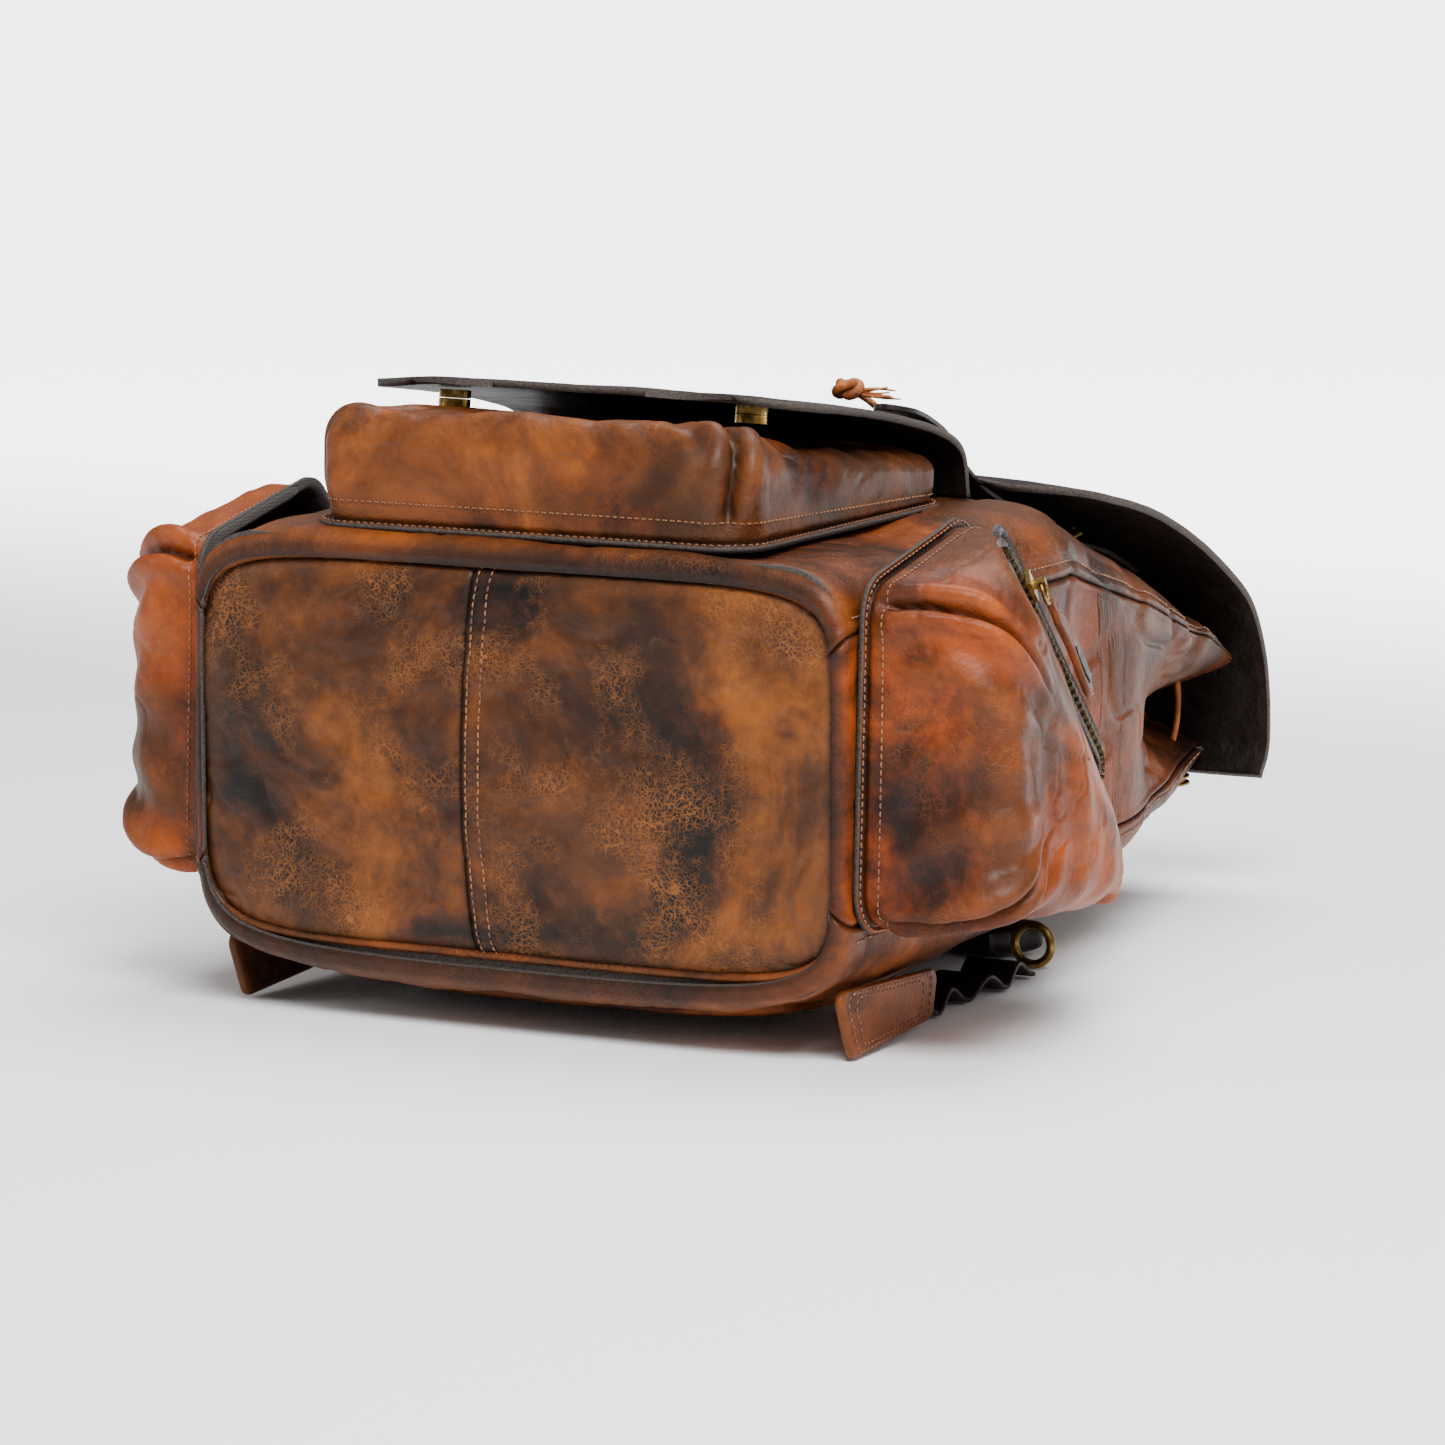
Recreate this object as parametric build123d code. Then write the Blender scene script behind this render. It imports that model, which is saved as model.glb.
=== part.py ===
from build123d import *
import os
from math import asin, atan2, cos, degrees, hypot, radians, sin, tan

# A leather rucksack lying on its back. +Z is the bag's front, -Y its base, +X its right side.
# Heights are measured from the base along the bag; z is the distance from the floor. Millimetres.

# Body
bag_width = 320.0
bag_depth = 188.0
bag_length = 484.0
straight_height = 227.0
mouth_height = 467.0
mouth_width = 296.0
mouth_depth = 70.0
mouth_rise = 32.0
back_space = 26.0
corner_radius = 32.0
mouth_radius = 20.0
leather = 2.5
heavy_leather = 3.5
fit_gap = 0.3
gusset_front_height = 262.0
gusset_back_height = 302.0

# Base
base_width = 310.0
base_depth = 163.0
base_radius = 30.0
base_thickness = 4.5
base_recess = 1.5
base_seam_x = -17.0
board_thickness = 3.0
lining_thickness = 1.0
lining_height = 330.0

# Front pocket and its flap
pocket_width = 210.0
pocket_start = 15.0
pocket_end = 205.0
pocket_taper = 8.0
pocket_corner = 14.0
pocket_dip = 10.0
pocket_slant = 45.0
flap_width = 216.0
flap_corner = 30.0
flap_free_height = 54.0
flap_slack = 0.6
flap_hinge_height = 228.0
flap_hinge_rise = 12.0
pocket_snap_x = 73.0
pocket_snap_height = 82.0
snap_radius = 7.0
snap_half = 3.6

# Side pockets and their zips
side_reach = 65.0
side_wall = 2.5
side_band = 24.0
bevel_foot = 18.0
bevel_run = 22.0
bevel_rise = 10.0
bulge_run = 47.0
zip_tape_width = 15.0
zip_tape_thickness = 0.9
zip_teeth_width = 5.0
zip_teeth_thickness = 2.2
zip_run = 134.0
zip_end_margin = 10.0
slider_length = 12.0
slider_width = 9.0
slider_thickness = 4.0
puller_length = 62.0
puller_width = 19.0
puller_neck = 11.0
puller_thickness = 3.4
tongue_length = 7.0
tongue_width = 4.4
tongue_lap = 2.8
ring_radius = 5.5
ring_wire = 0.9

# Lid, closure straps and buckles
lid_width = 290.0
lid_corner = 45.0
lid_free_height = 254.0
strap_x = 88.0
strap_width = 20.0
strap_thickness = 3.0
chape_thickness = 2.3
lid_snap_height = 304.0
buckle_height = 341.0
buckle_length = 20.0
bar_radius = 1.6
roller_radius = 2.6
bar_gap = 0.5
prong_radius = 1.1
keeper_wall = 2.0
keeper_length = 8.0
tip_gap = 5.5
strap_slack = 1.5
wrap_thickness = 1.9
chape_end = 12.0
keeper_u = 17.0

# Drawstring
lace_radius = 1.5
cord_radius = 1.6
eyelet_drop = 17.0
eyelet_xs = (40.0, 110.0)
eyelet_hole = 2.9
eyelet_barrel = 3.9
eyelet_flange = 6.0
eyelet_lip = 0.8
bead_length = 14.0
bead_width = 9.0
bead_thickness = 5.2
bead_x = 65.0
knot_radius = 7.5

# Harness under the back
strap_start_x = 46.0
strap_start_height = 377.0
strap_bow = (62.0, 320.0)
strap_end_x = 114.0
strap_end_height = 265.0
strap_end_narrowing = 20.0
harness_ring_at = (128.0, 251.0)
lower_strap_x = 127.0
lower_strap_start = 104.0
lower_strap_end = 234.0
tab_inset = 11.0
back_pad_width = 240.0
back_pad_length = 300.0
back_pad_height = 190.0
back_pad_corner = 24.0
pad_width = 54.0
pad_thickness = 15.0
yoke_width = 150.0
yoke_start = 382.0
yoke_end = 414.0
harness_lift = 1.0
harness_ring_radius = 9.0
harness_ring_wire = 2.0
lower_strap_width = 26.0
lower_strap_thickness = 9.0
tab_thickness = 4.0
back_pad_thickness = 4.0
handle_span = 90.0
handle_drop = 40.0
handle_thickness = 9.0
handle_hinge_drop = 5.0

eyelet_height = mouth_height - eyelet_drop
handle_hinge_height = mouth_height - handle_hinge_drop
tab_x = bag_width / 2 - tab_inset
base_y = -bag_length / 2
back_z = back_space
front_z = back_z + bag_depth
mid_z = back_z + bag_depth / 2
mouth_back_z = back_z + mouth_rise
mouth_front_z = mouth_back_z + mouth_depth
mouth_mid_z = mouth_back_z + mouth_depth / 2
taper_length = mouth_height - straight_height
snap_slope = atan2(mouth_front_z - front_z, taper_length)
snap_stack = 2 * snap_half + fit_gap


def along(height):
    """The y of a height above the base."""
    return base_y + height


def front_surface(height):
    """The z of the front panel's outer face."""
    share = max(0.0, (height - straight_height) / taper_length)
    return front_z + share * (mouth_front_z - front_z)


def back_surface(height):
    """The z of the back panel's outer face."""
    share = max(0.0, (height - straight_height) / taper_length)
    return back_z + share * (mouth_back_z - back_z)


def section(height, width, depth, radius, z):
    """A rounded rectangle across the bag."""
    plane = Plane(origin=(0, along(height), z), x_dir=(1, 0, 0), z_dir=(0, 1, 0))
    return plane * RectangleRounded(width, depth, radius)


def body_solid(inset, start, end_extra):
    """The outer body, inset by a wall, from a height to past the mouth."""
    width = bag_width - 2 * inset
    depth = bag_depth - 2 * inset
    radius = corner_radius - inset
    low = section(start, width, depth, radius, mid_z)
    high = section(straight_height, width, depth, radius, mid_z)
    mouth = section(mouth_height, mouth_width - 2 * inset, mouth_depth - 2 * inset,
                    mouth_radius - inset, mouth_mid_z)
    solid = extrude(low, amount=straight_height - start, dir=(0, 1, 0)) + loft([high, mouth])
    if end_extra:
        solid += extrude(mouth, amount=end_extra, dir=(0, 1, 0))
    return solid


def prism(points, half_width):
    """A polygon in Y and Z, pushed out to both sides in X."""
    face = Plane.YZ * make_face(Polyline(*points, close=True))
    return extrude(face, amount=half_width, both=True)


def normals(points):
    """Unit normals of a path in Y and Z, to the right of its direction, which is the outer side here."""
    result = []
    for i in range(len(points)):
        before = points[max(i - 1, 0)]
        after = points[min(i + 1, len(points) - 1)]
        dy, dz = after[0] - before[0], after[1] - before[1]
        size = hypot(dy, dz)
        result.append((dz / size, -dy / size))
    return result


def moved(points, distance):
    """A path in Y and Z moved outwards by a distance."""
    return [(p[0] + distance * n[0], p[1] + distance * n[1]) for p, n in zip(points, normals(points))]


def sheet(points, thickness, width, x=0.0):
    """A sheet whose outer face follows a smooth path in Y and Z, its thickness inside it."""
    inner = moved(points, -thickness)
    edges = [Spline(*points), Line(points[-1], inner[-1]), Spline(*inner[::-1]), Line(inner[0], points[0])]
    face = Plane.YZ * make_face(Curve() + edges)
    return Pos(x, 0, 0) * extrude(face, amount=width / 2, both=True)


def mirrored(shape):
    return mirror(shape, about=Plane.YZ)


def cord_radii(points):
    """The largest tangent arc at each point of a cord's route."""
    radii = []
    for before, here, after in zip(points, points[1:], points[2:]):
        one, two = Vector(*here) - Vector(*before), Vector(*after) - Vector(*here)
        turn = radians(one.get_angle(two))
        radii.append(0.45 * min(one.length, two.length) / tan(turn / 2))
    return radii


def tube(points, radii, radius):
    """A round tube along straight runs joined by tangent arcs."""
    path = FilletPolyline(*points, radius=radii)
    start = Plane(origin=path @ 0, z_dir=path % 0)
    return sweep(start * Circle(radius), path=path)


def rod(start, end, radius):
    """A round rod between two points."""
    axis = Vector(*end) - Vector(*start)
    return extrude(Plane(origin=start, z_dir=axis) * Circle(radius), amount=axis.length)


parts = {}


# Body panels
def make_body():
    shell = body_solid(0, base_recess, 0) - body_solid(leather, base_recess - 1, 1)
    low, high = along(-10), along(mouth_height) + 10
    bend = along(straight_height)
    reach = bag_width
    front_region = prism([(low, front_z - corner_radius), (bend, front_z - corner_radius),
                          (high, mouth_front_z - mouth_radius), (high, 2 * front_z), (low, 2 * front_z)], reach)
    back_region = prism([(low, back_z + corner_radius), (bend, back_z + corner_radius),
                         (high, mouth_back_z + mouth_radius), (high, -front_z), (low, -front_z)], reach)
    gusset_region = prism([(low, -front_z), (along(gusset_back_height), -front_z),
                           (along(gusset_back_height), back_z), (along(gusset_front_height), front_z),
                           (along(gusset_front_height), 2 * front_z), (low, 2 * front_z)], reach)
    right_half = Pos(bag_width / 2, 0, mid_z) * Box(bag_width, 3 * bag_length, 3 * bag_depth)
    front = shell & front_region
    back = shell & back_region
    right = (shell - front_region - back_region) & right_half
    holes = [cut for side in (-1, 1) for x in eyelet_xs for cut in eyelet_cuts(side * x)]
    parts["front_panel"] = front - holes
    parts["back_panel"] = back - holes
    parts["side_panel_right"] = right & gusset_region
    parts["side_skirt_right"] = right - gusset_region
    parts["side_panel_left"] = mirrored(parts["side_panel_right"])
    parts["side_skirt_left"] = mirrored(parts["side_skirt_right"])


def make_base():
    y_mid = along(base_thickness / 2)
    inner_width = bag_width - 2 * leather
    inner_depth = bag_depth - 2 * leather
    inner_radius = corner_radius - leather
    plate = extrude(section(0, base_width, base_depth, base_radius, mid_z), amount=base_thickness, dir=(0, 1, 0))
    cutter = Pos(base_seam_x - bag_width, y_mid, mid_z) * Box(2 * bag_width, 3 * base_thickness, 2 * bag_depth)
    parts["base_panel_left"] = plate & cutter
    parts["base_panel_right"] = plate - cutter
    ring = section(base_recess, inner_width, inner_depth, inner_radius, mid_z)
    ring -= section(base_recess, base_width, base_depth, base_radius, mid_z)
    parts["base_welt"] = extrude(ring, amount=base_thickness - base_recess, dir=(0, 1, 0))
    board = section(base_thickness, inner_width - 2 * fit_gap, inner_depth - 2 * fit_gap,
                    inner_radius - fit_gap, mid_z)
    parts["base_board"] = extrude(board, amount=board_thickness, dir=(0, 1, 0))
    floor_height = base_thickness + board_thickness
    outer = body_solid(leather + fit_gap, floor_height, 0)
    inner = body_solid(leather + fit_gap + lining_thickness, floor_height + lining_thickness, 1)
    keep = Pos(0, along(lining_height / 2), mid_z) * Box(2 * bag_width, lining_height, 2 * bag_depth)
    parts["lining"] = (outer - inner) & keep


# Front pocket and flap
hinge_y = along(flap_hinge_height - 2)
hinge_z = front_z + flap_hinge_rise
flap_path = [(along(225.0), front_z + 2.0), (along(219.0), front_z + 24.0), (along(194.0), front_z + 38.0),
             (along(162.0), front_z + 46.0), (along(122.0), front_z + 52.5),
             (along(flap_free_height), front_z + 62.0)]


def path_at(points, y):
    """The z and the slope angle of a path at a y."""
    for a, b in zip(points, points[1:]):
        if min(a[0], b[0]) <= y <= max(a[0], b[0]):
            share = (y - a[0]) / (b[0] - a[0])
            return a[1] + share * (b[1] - a[1]), atan2(b[1] - a[1], b[0] - a[0])
    raise ValueError("y is off the path")


def make_pocket():
    face_drop = heavy_leather + snap_stack + flap_slack
    snap_y = along(pocket_snap_height)
    flap_z, _ = path_at(flap_path, snap_y)
    slope = atan2(flap_path[-2][1] - flap_path[-1][1], flap_path[-2][0] - flap_path[-1][0])
    face_z = flap_z - face_drop / cos(slope)
    low_y, high_y = along(pocket_start), along(pocket_end)

    def face_at(y):
        return face_z + (y - snap_y) * tan(slope)

    def block(inset, open_end):
        width = pocket_width - 2 * inset
        y0, y1 = low_y + inset, high_y + open_end
        bottom = front_z if inset == 0 else front_z - 1
        shape = prism([(y0, bottom), (y1, bottom), (y1, face_at(y1) - inset - pocket_dip),
                       (high_y - pocket_slant, face_at(high_y - pocket_slant) - inset),
                       (y0 + pocket_taper, face_at(y0 + pocket_taper) - inset)], width / 2)
        upright = shape.edges().filter_by(
            lambda e: abs(abs(e.center().X) - width / 2) < 0.1 and e.center().Y < y0 + pocket_taper)
        return fillet(upright, pocket_corner - inset)

    parts["front_pocket"] = block(0, 0) - block(leather, 20)
    width_cut = extrude(Plane.XY.offset(front_z - 5) * flap_outline(), amount=120)
    parts["pocket_flap"] = sheet(flap_path, heavy_leather, flap_width) & width_cut
    sockets, studs = [], []
    for x in (-pocket_snap_x, pocket_snap_x):
        seat = Plane(origin=(x, snap_y, face_z), x_dir=(1, 0, 0), z_dir=(0, -sin(slope), cos(slope)))
        sockets.append(extrude(seat * Circle(snap_radius), amount=snap_half))
        studs.append(extrude(seat.offset(snap_half + fit_gap) * Circle(snap_radius), amount=snap_half))
    parts["pocket_snap_sockets"] = Compound(sockets)
    parts["pocket_snap_studs"] = Compound(studs)


def flap_outline():
    low, high = along(flap_free_height) - 1, along(flap_hinge_height) + 5
    shape = Pos(0, (low + high) / 2) * Rectangle(flap_width, high - low)
    corners = shape.vertices().filter_by(lambda v: v.Y < low + 1)
    return fillet(corners, flap_corner)


# Side pockets and zips
zip_top = (along(117.0), front_z - 3.0)
zip_dir = (sin(radians(44.0)), -cos(radians(44.0)))
zip_normal = (-zip_dir[1], zip_dir[0])


def zip_point(distance, lift=0.0):
    return (zip_top[0] + distance * zip_dir[0] + lift * zip_normal[0],
            zip_top[1] + distance * zip_dir[1] + lift * zip_normal[1])


# Along the zip, the pocket is cut to a shallow bevel that carries the tape, and then slopes up to its bulge.
bevel_size = hypot(bevel_run, bevel_rise)
bevel_out = bevel_rise / bevel_size
bevel_side = bevel_run / bevel_size
zip_axis_up = (bevel_side, bevel_out * zip_normal[0], bevel_out * zip_normal[1])


def zip_seat(distance, lift=0.0):
    """A point along the middle of the bevel, and that far off it."""
    y, z = zip_point(distance, bevel_out * lift - bevel_run / 2)
    return bag_width / 2 + bevel_foot + bevel_rise / 2 + bevel_side * lift, y, z


def bevel_cut(depth):
    """What is cut off the pocket along its zip, sunk by a depth into the pocket."""
    foot = bag_width / 2 + bevel_foot - depth
    top = bag_width / 2 + side_reach + 1.0 - depth
    profile = [(-60, foot), (0, foot), (bevel_run, foot + bevel_rise), (bevel_run + bulge_run, top),
               (bevel_run + bulge_run, top + 60), (-60, top + 60)]
    plane = Plane(origin=(0, *zip_point(-120.0)), x_dir=(0, -zip_normal[0], -zip_normal[1]), z_dir=(0, *zip_dir))
    turned = plane * make_face(Polyline(*[(inward, -x * (1 if plane.y_dir.X < 0 else -1)) for inward, x in profile],
                                        close=True))
    return extrude(turned, amount=zip_run + 240.0)


def pocket_outline(inset, shrink, x):
    """The side pocket's outline in Y and Z, drawn in by an inset and shrunk towards its own middle."""
    end = zip_point(zip_run)
    corners = [(along(10.0), back_z + 34.0), (along(16.0), front_z - 12.0), zip_point(-14.0), end,
               (end[0] + 2, back_z + 38.0), (end[0] - 44, back_z + 24.0)]
    middle = (along(98.0), back_z + 95.0)
    points = [(middle[0] + (c[0] - middle[0]) * shrink, middle[1] + (c[1] - middle[1]) * shrink) for c in corners]
    face = make_face(Polyline(*points, close=True))
    face = fillet(face.vertices(), 16.0 * shrink)
    if inset:
        face = offset(face, amount=-inset)
    return Pos(x, 0, 0) * (Plane.YZ * face)


def make_side_pocket():
    wall_x = bag_width / 2
    bulge = 0.72
    outer = extrude(pocket_outline(0, 1.0, wall_x), amount=side_band, dir=(1, 0, 0))
    outer += loft([pocket_outline(0, 1.0, wall_x + side_band), pocket_outline(0, bulge, wall_x + side_reach)])
    inner = extrude(pocket_outline(side_wall, 1.0, wall_x - 1), amount=side_band + 1, dir=(1, 0, 0))
    inner += loft([pocket_outline(side_wall, 1.0, wall_x + side_band),
                   pocket_outline(side_wall, bulge, wall_x + side_reach - side_wall)])
    outer -= bevel_cut(0)
    inner -= bevel_cut(side_wall * 1.15)
    parts["side_pocket_right"] = outer - inner
    frame = Plane(origin=zip_seat(0), x_dir=(0, *zip_dir), z_dir=zip_axis_up)
    tape_length = zip_run - 8

    def slab(length, width, thickness, start, lift):
        return frame * (Pos(start + length / 2, 0, lift + thickness / 2) * Box(length, width, thickness))

    parts["zip_tape_right"] = slab(tape_length, zip_tape_width, zip_tape_thickness, 0, 0)
    teeth_lift = zip_tape_thickness
    parts["zip_teeth_right"] = slab(tape_length - 8, zip_teeth_width, zip_teeth_thickness, 4, teeth_lift)
    slide_lift = teeth_lift + zip_teeth_thickness + fit_gap
    start = zip_end_margin
    slider = slab(slider_length, slider_width, slider_thickness - 2, start, slide_lift)
    lug = slab(4, 2.4, 5.4, start + 4, slide_lift + slider_thickness - 2)
    hole = (start + 6, slide_lift + slider_thickness - 2 + 3.2)
    eye = frame * (Pos(hole[0], 0, hole[1]) * Rot(90, 0, 0) * Cylinder(ring_wire + 0.4, 8))
    parts["zip_slider_right"] = slider + lug - eye
    parts["zip_ring_right"] = frame * (Pos(hole[0] + ring_radius, 0, hole[1]) * Torus(ring_radius, ring_wire))
    far = hole[0] + 2 * ring_radius
    body_start = far + tongue_length
    outline = Pos(far + tongue_length / 2 - tongue_lap / 2, 0) * Rectangle(tongue_length + tongue_lap, tongue_width)
    outline += Pos((body_start + far + puller_length - puller_width / 2) / 2, 0) * Rectangle(
        puller_length - tongue_length - puller_width / 2, puller_neck)
    outline += Pos(far + puller_length - puller_width / 2, 0) * Circle(puller_width / 2)
    puller = extrude(frame * (Pos(0, 0, hole[1] - puller_thickness / 2) * outline), amount=puller_thickness)
    slot_cut = frame * (Pos(far, 0, hole[1]) * Box(2 * ring_wire + 1.8, tongue_width + 2, 2 * ring_wire + 0.4))
    parts["zip_puller_right"] = puller - slot_cut
    for name in ("side_pocket", "zip_tape", "zip_teeth", "zip_slider", "zip_ring", "zip_puller"):
        parts[name + "_left"] = mirrored(parts[name + "_right"])


# Drawstring
def eyelet_plane(x, front):
    """A plane on the outer face of the front or back panel, pointing outwards."""
    y = along(eyelet_height)
    rise = (mouth_front_z - front_z if front else mouth_back_z - back_z) / taper_length
    tilt = atan2(rise, 1.0)
    z = front_surface(eyelet_height) if front else back_surface(eyelet_height)
    sign = 1 if front else -1
    return Plane(origin=(x, y, z), x_dir=(1, 0, 0), z_dir=(0, -sign * sin(tilt), sign * cos(tilt)))


def eyelet_cuts(x):
    return [eyelet_plane(x, front).offset(-leather / 2) * Cylinder(eyelet_barrel, 6 * leather)
            for front in (True, False)]


def make_eyelets():
    rings = []
    for x in [side * x for side in (-1, 1) for x in eyelet_xs]:
        for front in (True, False):
            seat = eyelet_plane(x, front)
            profile = Circle(eyelet_flange) - Circle(eyelet_hole)
            barrel = Circle(eyelet_barrel) - Circle(eyelet_hole)
            rings.append(extrude(seat * profile, amount=eyelet_lip)
                         + extrude(seat.offset(-leather - eyelet_lip) * profile, amount=eyelet_lip)
                         + extrude(seat.offset(-leather) * barrel, amount=leather))
    parts["eyelets"] = Compound(rings)


def make_drawstring():
    y = along(eyelet_height)
    reach = eyelet_lip + lace_radius + 1.0
    front_out = front_surface(eyelet_height) + reach
    front_in = front_surface(eyelet_height) - leather - reach
    back_out = back_surface(eyelet_height) - reach
    back_in = back_surface(eyelet_height) + leather + reach
    near, far = eyelet_xs
    route = [(bead_x + bead_length / 2, front_out), (far, front_out), (far, back_out), (near, back_out),
             (near, back_in), (-near, back_in), (-near, back_out), (-far, back_out), (-far, front_out),
             (-near, front_out), (-near, front_in), (near, front_in), (near, front_out),
             (bead_x - bead_length / 2, front_out)]
    points = [(x, y, z) for x, z in route]
    parts["drawstring"] = tube(points, [2.4] * (len(points) - 2), lace_radius)
    lean = degrees(snap_slope)
    bead = Pos(bead_x, y, front_out) * (Rot(lean, 0, 0) * Box(bead_length, bead_width, bead_thickness))
    parts["drawstring_bead"] = bead
    half = bead_width / 2
    return y - half * cos(snap_slope), front_out - half * sin(snap_slope)


# The lace's two ends run together from the bead to the knot, first over the body, then over the flap.
tail_route = [(61, 160, 157.5), (56, 118, 172.5), (53, 78, 187), (56, 44, 199.5), (61, 20, 211), (64, 1, 221.5)]
flap_tail_route = [(65, -7, 231.0), (66, -14.5, 246), (67, -32, 258), (67, -50, 263.5)]


def make_cords():
    bead_front, bead_z = make_drawstring()
    body_route = [(bead_x, bead_front, bead_z)] + tail_route
    for name, route in (("drawstring_tail", body_route), ("drawstring_tail_end", flap_tail_route)):
        radii = cord_radii(route)
        print(name, "radii", [round(r, 1) for r in radii])
        parts[name] = tube(route, radii, cord_radius)
        length = FilletPolyline(*route, radius=radii).length
        print(name, "length", round(length, 1), "volume share",
              round(parts[name].volume / (length * cord_radius ** 2 * 3.14159265), 4))
    end, before = Vector(*flap_tail_route[-1]), Vector(*flap_tail_route[-2])
    ahead = (end - before).normalized()
    centre = end + ahead * (knot_radius - 0.3)
    ball = Pos(*centre) * Sphere(knot_radius)
    plane = Plane(origin=end, z_dir=ahead)
    ball -= extrude(plane * Rectangle(4 * knot_radius, 4 * knot_radius), amount=-knot_radius)
    stub_start = centre + Vector(knot_radius - 1.5, 0, 0)
    stub = rod(stub_start, stub_start + Vector(10.5, 9, -1.0), 1.8)
    parts["drawstring_knot"] = ball + stub


# Lid and closure straps
lid_hinge = (along(472.0), mouth_back_z + 2.0)
lid_path = [(along(mouth_height + heavy_leather), mouth_back_z - 1.0), (along(480.0), mouth_back_z + 16.0),
            (along(479.0), mouth_back_z + 56.0), (along(463.0), mouth_back_z + 86.0),
            (along(435.0), mouth_back_z + 107.0), (along(394.0), mouth_back_z + 127.0),
            (along(337.0), mouth_back_z + 147.0), (along(282.0), mouth_back_z + 161.0),
            (along(lid_free_height), mouth_back_z + 167.0)]
strap_bottom = snap_stack + chape_thickness + fit_gap
strap_top = strap_bottom + strap_thickness
buckle_u = (buckle_height - lid_snap_height) / cos(snap_slope)
heel = (buckle_u - buckle_length / 2, snap_stack + chape_thickness - wrap_thickness - bar_radius)
nose = (buckle_u + buckle_length / 2, strap_top + bar_gap + roller_radius)


def closure_plane(x):
    """The front panel's face under a closure strap: its x runs up the bag, its z points outwards."""
    return Plane(origin=(x, along(lid_snap_height), front_surface(lid_snap_height)),
                 x_dir=(0, cos(snap_slope), sin(snap_slope)), z_dir=(0, -sin(snap_slope), cos(snap_slope)))


def closure_point(u, w):
    """The y and z of a point that far up the bag from the snap and that far off the front panel."""
    return (along(lid_snap_height) + u * cos(snap_slope) - w * sin(snap_slope),
            front_surface(lid_snap_height) + u * sin(snap_slope) + w * cos(snap_slope))


def make_lid():
    low, high = along(lid_free_height) - 1, along(bag_length) + 5
    outline = Pos(0, (low + high) / 2) * Rectangle(lid_width, high - low)
    outline = fillet(outline.vertices().filter_by(lambda v: v.Y < low + 1), lid_corner)
    parts["lid"] = sheet(lid_path, heavy_leather, lid_width) & extrude(outline, amount=2 * front_z)


def make_closure(side, name):
    x = side * strap_x
    frame = closure_plane(x)
    half = strap_width / 2 + bar_radius + 1.2
    under_lid = moved(lid_path, -heavy_leather - strap_slack)
    sewn, level = under_lid[4], closure_point(buckle_u + 10, strap_top)
    path = [sewn, ((sewn[0] + level[0]) / 2, (sewn[1] + level[1]) / 2 + 1.0), level,
            closure_point(22, strap_top), closure_point(0, strap_top),
            closure_point(-17, strap_top + 1.5), (along(262.0), front_z + 2.5), (along(249.0), front_z + 9.5),
            (hinge_y + 14.5, hinge_z + 4.5)]
    strap = sheet(path, strap_thickness, strap_width, x)
    hole_y = 2 * prong_radius + 1.6
    slot = frame * (Pos(buckle_u - 5.5, 0, strap_bottom + strap_thickness / 2) * Box(16.4, hole_y, 9))
    parts["closure_strap_" + name] = strap - slot
    bars = rod((heel[0], -half, heel[1]), (heel[0], half, heel[1]), bar_radius)
    bars += rod((nose[0], -half, nose[1]), (nose[0], half, nose[1]), bar_radius)
    for edge in (-half, half):
        bars += rod((heel[0], edge, heel[1]), (nose[0], edge, nose[1]), bar_radius)
        for end in (heel, nose):
            bars += Pos(end[0], edge, end[1]) * Sphere(bar_radius)
    parts["buckle_frame_" + name] = frame * bars
    roller = Rot(90, 0, 0) * (Cylinder(roller_radius, 2 * half - 2 * bar_radius - 2)
                              - Cylinder(bar_radius + 0.15, 3 * half))
    parts["buckle_roller_" + name] = frame * (Pos(nose[0], 0, nose[1]) * roller)
    reach = hypot(nose[0] - heel[0], nose[1] - heel[1])
    lean = atan2(nose[1] - heel[1], nose[0] - heel[0]) + asin((roller_radius + prong_radius + fit_gap) / reach)
    eye = Pos(heel[0], 0, heel[1]) * (Rot(90, 0, 0) * (Cylinder(bar_radius + 1.3, 2 * prong_radius + 0.8)
                                                      - Cylinder(bar_radius + 0.15, 9)))
    root, tip = bar_radius + 0.8, reach + 1.5
    prong = rod((heel[0] + root * cos(lean), 0, heel[1] + root * sin(lean)),
                (heel[0] + tip * cos(lean), 0, heel[1] + tip * sin(lean)), prong_radius)
    parts["buckle_prong_" + name] = frame * (eye + prong)


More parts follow.
